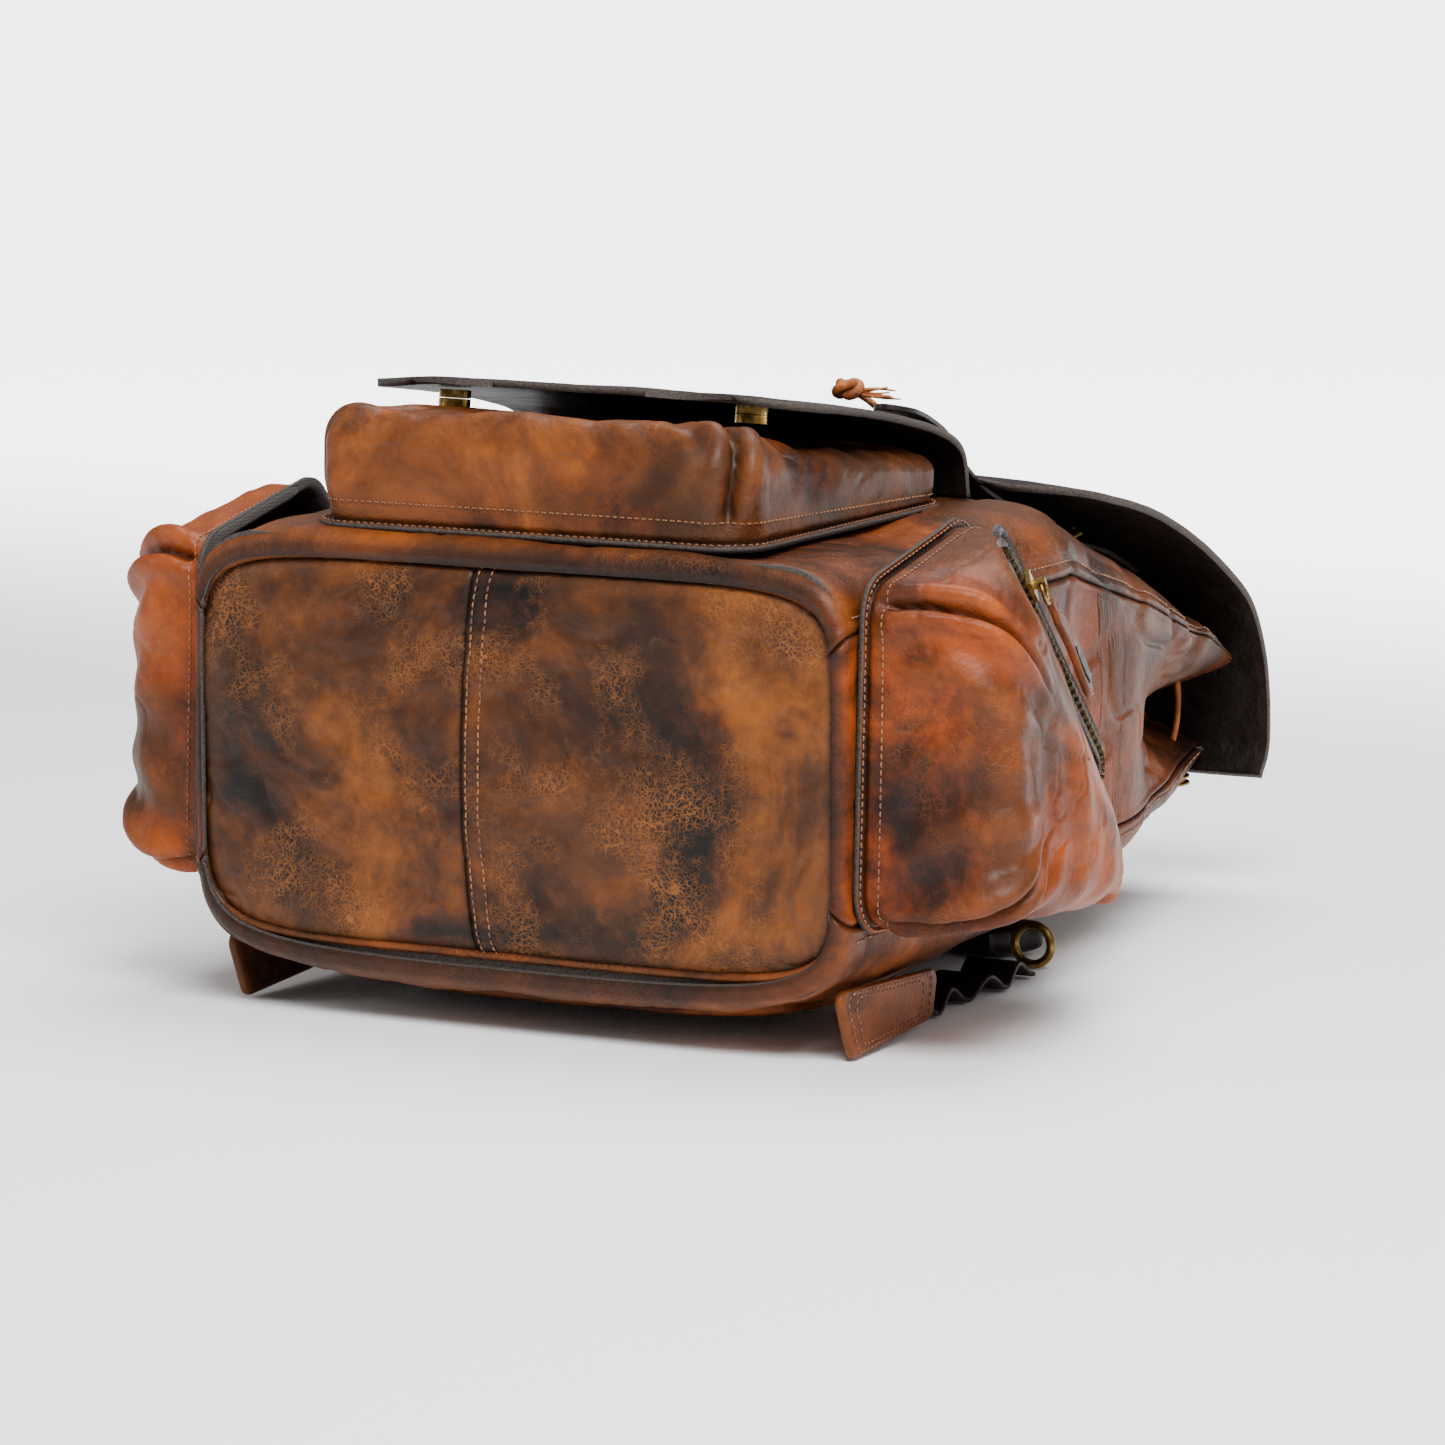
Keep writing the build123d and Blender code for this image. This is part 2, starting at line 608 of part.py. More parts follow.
def make_chapes():
    chapes, keepers, sockets, studs = [], [], [], []
    for side in (-1, 1):
        seat = closure_plane(side * strap_x)
        sockets.append(extrude(seat * Circle(snap_radius), amount=snap_half))
        studs.append(extrude(seat.offset(snap_half + fit_gap) * Circle(snap_radius), amount=snap_half))
        plate_length = heel[0] + chape_end
        plate = Pos(plate_length / 2 - chape_end, 0, snap_stack + chape_thickness / 2) * Box(
            plate_length, strap_width - 1, chape_thickness)
        loop = Pos(heel[0], 0, heel[1]) * (Rot(90, 0, 0) * Cylinder(bar_radius + wrap_thickness, strap_width - 2))
        bore = Pos(heel[0], 0, heel[1]) * (Rot(90, 0, 0) * Cylinder(bar_radius + 0.1, 3 * strap_width))
        notch = Pos(heel[0] + 1, 0, heel[1]) * Box(10.5, 2 * prong_radius + 2.0, 9.0)
        chapes.append(seat * (plate + loop - bore - notch))
        inner_height = chape_thickness + strap_thickness + 3 * fit_gap
        middle = snap_stack + inner_height / 2 - fit_gap
        ring = Box(keeper_length, strap_width + 1 + 2 * keeper_wall, inner_height + 2 * keeper_wall)
        ring -= Box(3 * keeper_length, strap_width + 1, inner_height)
        keepers.append(seat * (Pos(keeper_u, 0, middle) * ring))
    parts["strap_chapes"] = Compound(chapes)
    parts["strap_keepers"] = Compound(keepers)
    parts["lid_snap_sockets"] = Compound(sockets)
    parts["lid_snap_studs"] = Compound(studs)


def make_strap_tips():
    over = moved(flap_path, tip_gap)
    end = (over[2][0] - 18.0, path_at(over, over[2][0] - 18.0)[0])
    path = [(hinge_y + 7.0, hinge_z + 5.0), over[1], over[2], end]
    for side, name in ((-1, "left"), (1, "right")):
        tip = sheet(path, strap_thickness, strap_width, side * strap_x)
        parts["strap_tip_" + name] = tip


# Back and harness
def make_harness():
    back_pad = Pos(0, along(back_pad_height), back_z - back_pad_thickness / 2) * Box(
        back_pad_width, back_pad_length, back_pad_thickness)
    parts["back_pad"] = fillet(back_pad.edges().filter_by(Axis.Z), back_pad_corner)
    yoke_top = back_surface(yoke_start)
    parts["strap_yoke"] = Pos(0, along((yoke_start + yoke_end) / 2), yoke_top / 2) * Box(
        yoke_width, yoke_end - yoke_start, yoke_top)
    for side, name in ((-1, "left"), (1, "right")):
        start = Vector(side * strap_start_x, along(strap_start_height), 0)
        end = Vector(side * strap_end_x, along(strap_end_height), 0)
        middle = Vector(side * strap_bow[0], along(strap_bow[1]), 0)
        track = Spline(start, middle, end)
        across = [((track % t).rotate(Axis.Z, 90) * (pad_width - strap_end_narrowing * t * t) / 2, track @ t)
                  for t in (0, 0.35, 0.7, 1)]
        left = [point + half_width for half_width, point in across]
        right = [point - half_width for half_width, point in across]
        face = make_face(Curve() + [Spline(*left), Line(left[-1], right[-1]), Spline(*right[::-1]),
                                    Line(right[0], left[0])])
        parts["shoulder_strap_" + name] = Pos(0, 0, harness_lift) * extrude(face, amount=pad_thickness)
        ring = Pos(side * harness_ring_at[0], along(harness_ring_at[1]), harness_ring_radius + harness_ring_wire + 0.4)
        parts["strap_ring_" + name] = ring * (Rot(90, 0, side * 45) * Torus(harness_ring_radius, harness_ring_wire))
        low, high = along(lower_strap_start), along(lower_strap_end)
        lower = Pos(side * lower_strap_x, (low + high) / 2, harness_lift + lower_strap_thickness / 2)
        parts["lower_strap_" + name] = lower * Box(lower_strap_width, high - low, lower_strap_thickness)
        tab = prism([(along(12.0), back_z + 6.0), (along(26.0), 0.0), (along(103.0), 6.0),
                     (along(108.0), back_z)], tab_thickness / 2)
        parts["anchor_tab_" + name] = Pos(side * tab_x, 0, 0) * tab
    y = along(handle_hinge_height)
    z = back_surface(handle_hinge_height) - handle_thickness / 2 - 2.3
    half = handle_span / 2
    route = [(-half, y, z), (-half, y, z - handle_drop), (half, y, z - handle_drop), (half, y, z)]
    parts["carry_handle"] = tube(route, [24.0, 24.0], handle_thickness / 2)
    feet = [Pos(side * half, y, z + handle_thickness / 2 + 0.9) * Box(18, 10, 1.2) for side in (-1, 1)]
    parts["handle_feet"] = Compound(feet)


make_body()
make_base()
make_pocket()
make_side_pocket()
make_eyelets()
make_cords()
make_lid()
for side, name in ((-1, "left"), (1, "right")):
    make_closure(side, name)
make_chapes()
make_strap_tips()
make_harness()
os.makedirs("parts", exist_ok=True)
for name, shape in parts.items():
    export_step(shape, f"parts/{name}.step")
print(len(parts), "nodes")
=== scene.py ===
import bmesh
import bpy
import math
import numpy as np
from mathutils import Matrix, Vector


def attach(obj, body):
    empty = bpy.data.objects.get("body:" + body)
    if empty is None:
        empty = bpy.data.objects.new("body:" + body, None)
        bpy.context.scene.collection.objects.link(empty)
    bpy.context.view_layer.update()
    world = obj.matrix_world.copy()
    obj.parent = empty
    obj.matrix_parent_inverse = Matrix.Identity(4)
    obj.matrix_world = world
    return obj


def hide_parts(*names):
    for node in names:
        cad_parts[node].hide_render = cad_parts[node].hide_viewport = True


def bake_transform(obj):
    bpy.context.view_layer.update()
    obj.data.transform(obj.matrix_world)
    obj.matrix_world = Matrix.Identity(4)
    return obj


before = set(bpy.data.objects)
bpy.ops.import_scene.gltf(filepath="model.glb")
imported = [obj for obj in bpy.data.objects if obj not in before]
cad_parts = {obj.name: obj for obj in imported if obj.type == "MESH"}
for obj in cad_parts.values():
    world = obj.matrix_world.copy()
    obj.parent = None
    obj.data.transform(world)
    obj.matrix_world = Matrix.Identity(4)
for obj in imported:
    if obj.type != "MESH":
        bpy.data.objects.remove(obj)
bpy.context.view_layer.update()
mm = 0.001
print("frame loaded")


camera = dict(azimuth=27.84, elevation=8.71, distance=3.0, target=(-0.003, -0.042, 0.110), lens=165.95)


def addCamera():
    a, e = math.radians(camera["azimuth"]), math.radians(camera["elevation"])
    back = Vector((math.sin(a) * math.cos(e), -math.cos(a) * math.cos(e), math.sin(e)))
    data = bpy.data.cameras.new("camera")
    data.lens, data.sensor_width = camera["lens"], 36
    data.clip_end = 200
    cam = bpy.data.objects.new("camera", data)
    cam.location = Vector(camera["target"]) + back * camera["distance"]
    cam.rotation_euler = (-back).to_track_quat("-Z", "Y").to_euler()
    bpy.context.scene.collection.objects.link(cam)
    bpy.context.scene.camera = cam


lights = [
    dict(name="keySoftbox", at=(1.1, -1.5, 1.9), size=(1.3, 0.9), power=104),
    dict(name="leftSoftbox", at=(-1.9, -1.2, 1.2), size=(0.9, 1.4), power=16),
    dict(name="topSoftbox", at=(0.1, 0.5, 2.0), size=(1.6, 1.2), power=52),
    dict(name="rightEdge", at=(2.2, -0.9, 1.3), size=(0.7, 0.9), power=9),
]


worldStrength = 0.36


def addLights():
    for item in lights:
        data = bpy.data.lights.new(item["name"], "AREA")
        data.shape = "RECTANGLE"
        data.size, data.size_y = item["size"]
        data.energy = item["power"]
        lamp = bpy.data.objects.new(item["name"], data)
        lamp.location = item["at"]
        aim = Vector((0, 0, 0.1)) - lamp.location
        lamp.rotation_euler = aim.to_track_quat("-Z", "Y").to_euler()
        bpy.context.scene.collection.objects.link(lamp)
    world = bpy.data.worlds.new("paleRoom")
    world.use_nodes = True
    world.node_tree.nodes["Background"].inputs["Color"].default_value = (1.0, 1.0, 1.0, 1)
    world.node_tree.nodes["Background"].inputs["Strength"].default_value = worldStrength
    bpy.context.scene.world = world


def linear(code):
    # sRGB hex to linear: c / 12.92 below 0.04045, ((c + 0.055) / 1.055) ^ 2.4 above it
    parts = [int(code[i:i + 2], 16) / 255 for i in (1, 3, 5)]
    return tuple(c / 12.92 if c <= 0.04045 else ((c + 0.055) / 1.055) ** 2.4 for c in parts) + (1.0,)


def add(tree, kind, settings=None, links=None):
    # one node, its settings or socket values, and its incoming links
    node = tree.nodes.new(kind)
    for key, value in (settings or {}).items():
        if isinstance(key, int) or key in node.inputs:
            node.inputs[key].default_value = value
        else:
            setattr(node, key, value)
    for key, source in (links or {}).items():
        tree.links.new(source, node.inputs[key])
    return node


def newMaterial(name, shaderValues):
    mat = bpy.data.materials.new(name)
    mat.use_nodes = True
    tree = mat.node_tree
    tree.nodes.clear()
    shader = add(tree, "ShaderNodeBsdfPrincipled", shaderValues)
    add(tree, "ShaderNodeOutputMaterial", None, {"Surface": shader.outputs[0]})
    return mat, tree, shader


def ramp(tree, source, stops, interpolation="LINEAR"):
    node = add(tree, "ShaderNodeValToRGB", None, {0: source})
    node.color_ramp.interpolation = interpolation
    elements = node.color_ramp.elements
    while len(elements) < len(stops):
        elements.new(0.5)
    for element, (place, colour) in zip(elements, stops):
        element.position, element.color = place, colour
    return node.outputs[0]


def grey(v):
    return (v, v, v, 1)


def clouds(tree, at, scale, detail, roughness=0.5, distortion=0.0, output=0):
    return add(tree, "ShaderNodeTexNoise", {"Scale": scale, "Detail": detail, "Roughness": roughness,
                                            "Distortion": distortion}, {0: at}).outputs[output]


def shifted(tree, colour, depth, start):
    # a position moved by a colour times a depth
    return add(tree, "ShaderNodeVectorMath", {"operation": "MULTIPLY_ADD", 1: (depth,) * 3},
               {0: colour, 2: start}).outputs[0]


def combined(tree, operation, a, b, clamp=False):
    # arithmetic on one output and another output or a plain number
    settings, links = {"operation": operation, "use_clamp": clamp}, {0: a}
    (links if isinstance(b, bpy.types.NodeSocket) else settings)[1] = b
    return add(tree, "ShaderNodeMath", settings, links).outputs[0]


def mixed(tree, share, tone, colour, blend="MIX"):
    return add(tree, "ShaderNodeMix", {"data_type": "RGBA", "blend_type": blend, 7: linear(colour)},
               {0: share, 6: tone}).outputs[2]


def dress(tree, shader, tone, reliefs):
    # the colour, and one bump over the other: height, strength, depth in metres, and whether it is cut in
    normal = {}
    for height, strength, depth, inwards in reliefs:
        bump = add(tree, "ShaderNodeBump", {"Strength": strength, "Distance": depth, "invert": inwards},
                   {"Height": height, **normal})
        normal = {"Normal": bump.outputs[0]}
    tree.links.new(tone, shader.inputs["Base Color"])
    tree.links.new(bump.outputs[0], shader.inputs["Normal"])


# scales are cells per metre
grain = dict(warp=26.0, warpDepth=0.02, smokePerPatch=1.7, veins=((210.0, 0.06), (480.0, 0.10)), gate=17.0,
             rub=60.0, pebble=640.0, rumple=85.0, rumpleDepth=0.0035, veinDepth=0.0006, pebbleDepth=0.0004,
             coatRoughness=0.28, specular=0.17)


def waxedLeather(name, look):
    # Pull-up cowhide: drum-dyed, waxed and hand-rubbed, so it is dark where the wax lies and orange where it
    # is pulled, with pale scuffs, fine vein-like creases and 1.5 mm pebbled grain under a soft waxy gloss.
    k = grain
    mat, tree, shader = newMaterial(name, {"IOR": 1.5, "Coat Weight": look["coat"],
                                           "Coat Roughness": k["coatRoughness"],
                                           "Specular IOR Level": k["specular"]})
    place = add(tree, "ShaderNodeTexCoord").outputs["Object"]
    shift = add(tree, "ShaderNodeMapping", {"Location": look["shift"]}, {0: place}).outputs[0]
    warped = shifted(tree, clouds(tree, shift, k["warp"], 3.0, output="Color"), k["warpDepth"], shift)
    patch = clouds(tree, warped, look["patch"], 5.0, 0.62, 0.9)
    base = ramp(tree, patch, [(0.30, linear(look["dark"])), (0.43, linear(look["deep"])),
                              (0.52, linear(look["mid"])), (0.66, linear(look["light"]))])
    smoke = clouds(tree, warped, look["patch"] * k["smokePerPatch"], 6.0, 0.7)
    smoky = ramp(tree, smoke, [(0.40, grey(0.0)), (0.66, grey(1.0))])
    tone = mixed(tree, smoky, base, look["smoke"], "MULTIPLY")
    # veins: the thin borders of warped 5 mm and 2 mm cells, broken up by noise
    lines = []
    for scale, width in k["veins"]:
        fine = clouds(tree, shift, scale * 0.6, 2.0, output="Color")
        cells = add(tree, "ShaderNodeTexVoronoi", {"feature": "DISTANCE_TO_EDGE", "Scale": scale},
                    {0: shifted(tree, fine, 1.6 / scale, warped)})
        lines.append(ramp(tree, cells.outputs[0], [(0.0, grey(1.0)), (width, grey(0.0))]))
    gate = ramp(tree, clouds(tree, shift, k["gate"], 4.0, 0.7), [(0.48, grey(0.0)), (0.66, grey(1.0))])
    vein = combined(tree, "MULTIPLY", combined(tree, "MAXIMUM", *lines), gate)
    tone = mixed(tree, combined(tree, "MULTIPLY", vein, look["veins"]), tone, look["vein"])
    # rubbed places are pale and follow the folds through the wear attribute; painted shade darkens seams,
    # grooves and creases through its own attribute
    wear = add(tree, "ShaderNodeAttribute", {"attribute_name": "wear"}).outputs["Fac"]
    rubbed = combined(tree, "MULTIPLY", wear, clouds(tree, shift, k["rub"], 5.0, 0.75))
    tone = mixed(tree, combined(tree, "MULTIPLY", rubbed, look["rub"], clamp=True), tone, look["worn"])
    paintedShade = add(tree, "ShaderNodeAttribute", {"attribute_name": "paintedShade"}).outputs["Fac"]
    tone = mixed(tree, paintedShade, tone, look["sunk"])
    gloss = ramp(tree, smoke, [(0.3, grey(look["gloss"][0])), (0.7, grey(look["gloss"][1]))])
    tree.links.new(gloss, shader.inputs["Roughness"])
    # relief: soft rumples of 12 mm, creases along the veins, and pebbled grain cells of 1.5 mm
    rumple = clouds(tree, warped, k["rumple"], 4.0, 0.55)
    pebble = add(tree, "ShaderNodeTexVoronoi", {"feature": "SMOOTH_F1", "Scale": k["pebble"],
                                                "Smoothness": 0.6}, {0: warped}).outputs[0]
    dress(tree, shader, tone, [(rumple, 0.5, k["rumpleDepth"], False), (vein, 0.55, k["veinDepth"], True),
                               (pebble, 0.35, k["pebbleDepth"], True)])
    return mat


# dark to light with the dye, smoke over it, pale veins and worn places, painted shade in seams and creases;
# patch in cells per metre
tanLook = dict(dark="#0f0805", deep="#2f1507", mid="#5f2a08", light="#8a430c", smoke="#3a261a",
               vein="#8a4a18", worn="#9c5a26", sunk="#0e0704", shift=(0.31, 0.12, 0.7), patch=8.5, veins=0.4,
               rub=0.40, coat=0.10, gloss=(0.42, 0.62))
tanLooks = {
    "base": dict(tanLook, shift=(0.42, 0.9, 0.17), light="#7c4312", mid="#41200a", deep="#170b05",
                 dark="#080503", worn="#7c4720", vein="#8f5522", veins=0.8, patch=9.0),
    "body": dict(tanLook, shift=(0.05, 0.33, 0.8)),
    "pocket": dict(tanLook, shift=(0.77, 0.2, 0.1), light="#a9591a", mid="#602c0a"),
    "side": dict(tanLook, shift=(0.6, 0.64, 0.35), light="#a0450a", mid="#7a3208", deep="#3f1a06",
                 worn="#b0602a", patch=7.0, veins=0.35),
}
# the dark leathers' near-black seam colour is painted shade as well
darkLook = dict(tanLook, dark="#0b0705", deep="#110a08", mid="#190f0b", light="#25150f", smoke="#4a4442",
                vein="#33211a", worn="#3a261d", sunk="#080504", veins=0.3, rub=0.45, coat=0.1,
                gloss=(0.38, 0.58))
lidLook = dict(darkLook, deep="#180a08", mid="#26110e", light="#381a15", vein="#4a2a22",
               shift=(0.2, 0.8, 0.5))


def brass(name):
    # Cast brass, tumbled and darkened: yellow on the worn faces, brown in the hollows.
    mat, tree, shader = newMaterial(name, {"Metallic": 1.0})
    place = add(tree, "ShaderNodeTexCoord").outputs["Object"]
    stain = clouds(tree, place, 160.0, 5.0, 0.65)
    tone = ramp(tree, stain, [(0.32, linear("#43331a")), (0.5, linear("#806332")), (0.68, linear("#b39455"))])
    gloss = ramp(tree, stain, [(0.3, grey(0.46)), (0.7, grey(0.2))])
    tree.links.new(gloss, shader.inputs["Roughness"])
    dress(tree, shader, tone, [(clouds(tree, place, 420.0, 2.0), 0.25, 0.0003, False)])
    return mat


def thread(name, colour):
    # Waxed bonded nylon thread: two plies that show as slanting ridges of about 1 mm.
    mat, tree, shader = newMaterial(name, {"Roughness": 0.55, "Sheen Weight": 0.2})
    place = add(tree, "ShaderNodeTexCoord").outputs["Object"]
    ply = add(tree, "ShaderNodeTexWave", {"Scale": 260.0, "Distortion": 1.5}, {0: place})
    tone = ramp(tree, ply.outputs[0], [(0.2, linear(colour[0])), (0.8, linear(colour[1]))])
    dress(tree, shader, tone, [(ply.outputs[0], 0.4, 0.0003, False)])
    return mat


def weave(name, colours, thread):
    # Plain-woven cotton or nylon tape: crossed threads a given distance apart.
    mat, tree, shader = newMaterial(name, {"Roughness": 0.85, "Sheen Weight": 0.15})
    place = add(tree, "ShaderNodeTexCoord").outputs["Object"]
    waves = []
    for axis in ("Y", "Z"):
        wave = add(tree, "ShaderNodeTexWave", {"bands_direction": axis, "Scale": 0.16 / thread,
                                               "Distortion": 0.4}, {0: place})
        waves.append(wave.outputs[0])
    both = combined(tree, "MULTIPLY", *waves)
    tone = ramp(tree, both, [(0.0, linear(colours[0])), (0.8, linear(colours[1]))])
    dress(tree, shader, tone, [(both, 0.5, 0.0004, False)])
    return mat


def rawEdge(name, colours=("#15100e", "#453a33"), metallic=0.0):
    # The cut edge of thick leather, grey-brown pressed fibres; or, as metal, dull tarnished teeth.
    mat, tree, shader = newMaterial(name, {"Roughness": 0.8 - 0.4 * metallic, "Metallic": metallic})
    place = add(tree, "ShaderNodeTexCoord").outputs["Object"]
    fibre = clouds(tree, place, 900.0, 4.0)
    tone = ramp(tree, fibre, [(0.3, linear(colours[0])), (0.7, linear(colours[1]))])
    dress(tree, shader, tone, [(fibre, 0.6, 0.0004, False)])
    return mat


floorGlow = dict(start=0.5, full=1.7, strength=4.2)


def paleFloor():
    # Matt white sweep: plain round the bag, and glowing from half a metre behind it, so it fades to white.
    mat, tree, shader = newMaterial("mattPaleBoard", {"Roughness": 0.9, "Base Color": linear("#fbfbfb"),
                                                      "Emission Color": (1, 1, 1, 1)})
    place = add(tree, "ShaderNodeTexCoord").outputs["Object"]
    reach = add(tree, "ShaderNodeSeparateXYZ", {}, {0: place}).outputs["Y"]
    glow = add(tree, "ShaderNodeMapRange", {"interpolation_type": "SMOOTHSTEP", 1: floorGlow["start"],
                                            2: floorGlow["full"], 3: 0.0, 4: floorGlow["strength"]},
               {0: reach}).outputs[0]
    tree.links.new(glow, shader.inputs["Emission Strength"])
    return mat


addCamera()
addLights()
leathers = {key: waxedLeather("pullUpLeather_" + key, look) for key, look in tanLooks.items()}
leathers["dark"] = waxedLeather("bridleLeather_dark", darkLook)
leathers["lid"] = waxedLeather("bridleLeather_lid", lidLook)
brassMat = brass("antiqueBrass")
teethMat = rawEdge("oxidisedBrassTeeth", ("#1d1710", "#5c4a2a"), metallic=0.8)
threadMat = thread("waxedThread_tan", ("#47230d", "#93561f"))
darkThread = thread("waxedThread_brown", ("#2a1810", "#5a3a26"))
tapeMat = weave("nylonZipTape", ("#0d0a09", "#2b2420"), 0.0006)
liningMat = weave("cottonLining", ("#120d0a", "#2f251d"), 0.0007)
edgeMat = rawEdge("cutLeatherEdge")
innerMat = waxedLeather("leatherFleshSide", dict(darkLook, mid="#17100d", light="#211713", vein="#2b1f1a"))
laceMat = waxedLeather("laceLeather", dict(tanLook, dark="#6a3a1c", deep="#8a4d22", mid="#a96230",
                                           light="#c27a42", smoke="#a08870", patch=30.0, gloss=(0.5, 0.65)))
print("materials made")


def unit(v):
    return v / np.maximum(np.linalg.norm(v, axis=-1, keepdims=True), 1e-12)


def lengthAlong(path):
    # the length of a polyline up to each of its points
    return np.concatenate([[0], np.cumsum(np.linalg.norm(np.diff(path, axis=0), axis=1))])


def readAt(path, run, at):
    # a polyline's points at the given lengths along it
    return np.stack([np.interp(at, run, path[:, k]) for k in range(path.shape[1])], -1)


def noise(points, size, seed, octaves=2):
    # smooth value noise from -1 to 1: random lattice values every size metres, blended with 3t^2 - 2t^3
    rng = np.random.default_rng(seed)
    table = rng.uniform(-1, 1, (64, 64, 64))
    total, weight = np.zeros(points.shape[:-1]), 0.0
    for octave in range(octaves):
        p = points / size * 2 ** octave + 17.3 * octave + 100.0
        cell = np.floor(p).astype(int)
        t = p - cell
        t = t * t * (3 - 2 * t)
        value = np.zeros(points.shape[:-1])
        for corner in np.ndindex(2, 2, 2):
            c = np.array(corner)
            share = np.prod(np.where(c == 1, t, 1 - t), axis=-1)
            i = (cell + c) % 64
            value = value + share * table[i[..., 0], i[..., 1], i[..., 2]]
        total += value * 0.5 ** octave
        weight += 0.5 ** octave
    return total / weight * 1.6


def gridNormals(p, closedU=False):
    # cross product of the two grid directions at each point
    if closedU:
        du = np.roll(p, -1, 0) - np.roll(p, 1, 0)
    else:
        du = np.gradient(p, axis=0)
    return unit(np.cross(du, np.gradient(p, axis=1)))


def surface(name, p, closedU=False, away=None, attributes=None, material=None, thickness=0.0, edge=None,
            inner=None, poles=False):
    # a grid of points as quads, facing away from a point; closedU joins the last row to the first,
    # poles merges the points that meet, and thickness grows inwards
    nu, nv = p.shape[:2]
    rows = np.arange(nu if closedU else nu - 1)
    i, j = np.meshgrid(rows, np.arange(nv - 1), indexing="ij")
    k = (i + 1) % nu
    quads = np.stack([i * nv + j, k * nv + j, k * nv + j + 1, i * nv + j + 1], -1).reshape(-1, 4)
    corners = p.reshape(-1, 3)[quads]
    area = np.cross(corners[:, 2] - corners[:, 0], corners[:, 3] - corners[:, 1])
    reference = p.reshape(-1, 3).mean(0) if away is None else np.asarray(away, float)
    if ((corners.mean(1) - reference) * area).sum() < 0:
        quads = quads[:, ::-1]
    mesh = bpy.data.meshes.new(name)
    mesh.vertices.add(nu * nv)
    mesh.vertices.foreach_set("co", p.reshape(-1).astype(np.float32))
    mesh.loops.add(quads.size)
    mesh.loops.foreach_set("vertex_index", np.ascontiguousarray(quads).reshape(-1).astype(np.int32))
    mesh.polygons.add(len(quads))
    mesh.polygons.foreach_set("loop_start", np.arange(0, quads.size, 4, dtype=np.int32))
    mesh.update(calc_edges=True)
    mesh.polygons.foreach_set("use_smooth", np.ones(len(quads), bool))
    for key, values in (attributes or {}).items():
        layer = mesh.attributes.new(key, "FLOAT", "POINT")
        layer.data.foreach_set("value", np.broadcast_to(values, (nu, nv)).reshape(-1).astype(np.float32))
    if poles:
        shell = bmesh.new()
        shell.from_mesh(mesh)
        bmesh.ops.remove_doubles(shell, verts=shell.verts, dist=1e-6)
        shell.to_mesh(mesh)
        shell.free()
    obj = bpy.data.objects.new(name, mesh)
    bpy.context.scene.collection.objects.link(obj)
    if material:
        mesh.materials.append(material)
    if thickness:
        mesh.materials.append(edge or edgeMat)
        mesh.materials.append(inner or material)
        wall = obj.modifiers.new("wall", "SOLIDIFY")
        wall.thickness, wall.offset = thickness, -1
        wall.material_offset_rim, wall.material_offset = 1, 2
    return obj


def place(obj, body, nodes=(), slot=None):
    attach(obj, body)
    if nodes:
        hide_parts(*nodes)
    return obj


def joined(name, pieces, material):
    # several pieces of the same shape family as one mesh
    verts, faces, base = [], [], 0
    for v, f in pieces:
        verts.append(v)
        faces.append(f + base)
        base += len(v)
    mesh = bpy.data.meshes.new(name)
    mesh.from_pydata(np.concatenate(verts).tolist(), [], np.concatenate(faces).tolist())
    mesh.polygons.foreach_set("use_smooth", np.ones(len(mesh.polygons), bool))
    mesh.materials.append(material)
    obj = bpy.data.objects.new(name, mesh)
    bpy.context.scene.collection.objects.link(obj)
    return obj


def resample(path, step):
    # points a fixed distance apart along a polyline, with the tangent at each
    path = np.asarray(path, float)
    run = lengthAlong(path)
    points = readAt(path, run, np.linspace(0, run[-1], max(2, int(run[-1] / step))))
    return points, unit(np.gradient(points, axis=0))


def stitches(name, runs, body, material, pitch=0.0034, radius=0.00042):
    # each stitch is a flattened bead 0.72 pitch long, its ends bent down into the leather:
    # ring k of 5 at s = cos(pi k / 4), radius r sqrt(1 - s^4), height lowered by r s^2
    pieces = []
    k = np.arange(5)
    s = np.cos(np.pi * k / 4)
    turn = np.arange(5) * 2 * np.pi / 5
    for path, up in runs:
        points, ahead = resample(path, pitch)
        ups = np.broadcast_to(np.asarray(up, float), (len(path), 3)) if np.ndim(up) == 1 else np.asarray(up)
        which = np.linspace(0, len(path) - 1, len(points)).astype(int)
        n = ups[which]
        side = unit(np.cross(n, ahead))
        r = radius * np.sqrt(np.maximum(1 - s ** 4, 0.02))
        length = s * 0.36 * pitch
        ring = (points[:, None, None] + length[None, :, None, None] * ahead[:, None, None]
                + (r[None, :, None, None] * np.cos(turn)[None, None, :, None]) * side[:, None, None]
                + (r[None, :, None, None] * np.sin(turn)[None, None, :, None] * 0.8
                   + (radius * 0.35 - radius * s ** 2)[None, :, None, None]) * n[:, None, None])
        verts = ring.reshape(-1, 3)
        a, b = np.meshgrid(np.arange(4), np.arange(5), indexing="ij")
        quad = np.stack([a * 5 + b, a * 5 + (b + 1) % 5, (a + 1) * 5 + (b + 1) % 5, (a + 1) * 5 + b], -1)
        quad = quad.reshape(-1, 4)
        faces = (quad[None] + 25 * np.arange(len(points))[:, None, None]).reshape(-1, 4)
        pieces.append((verts, faces))
    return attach(joined(name, pieces, material), body)


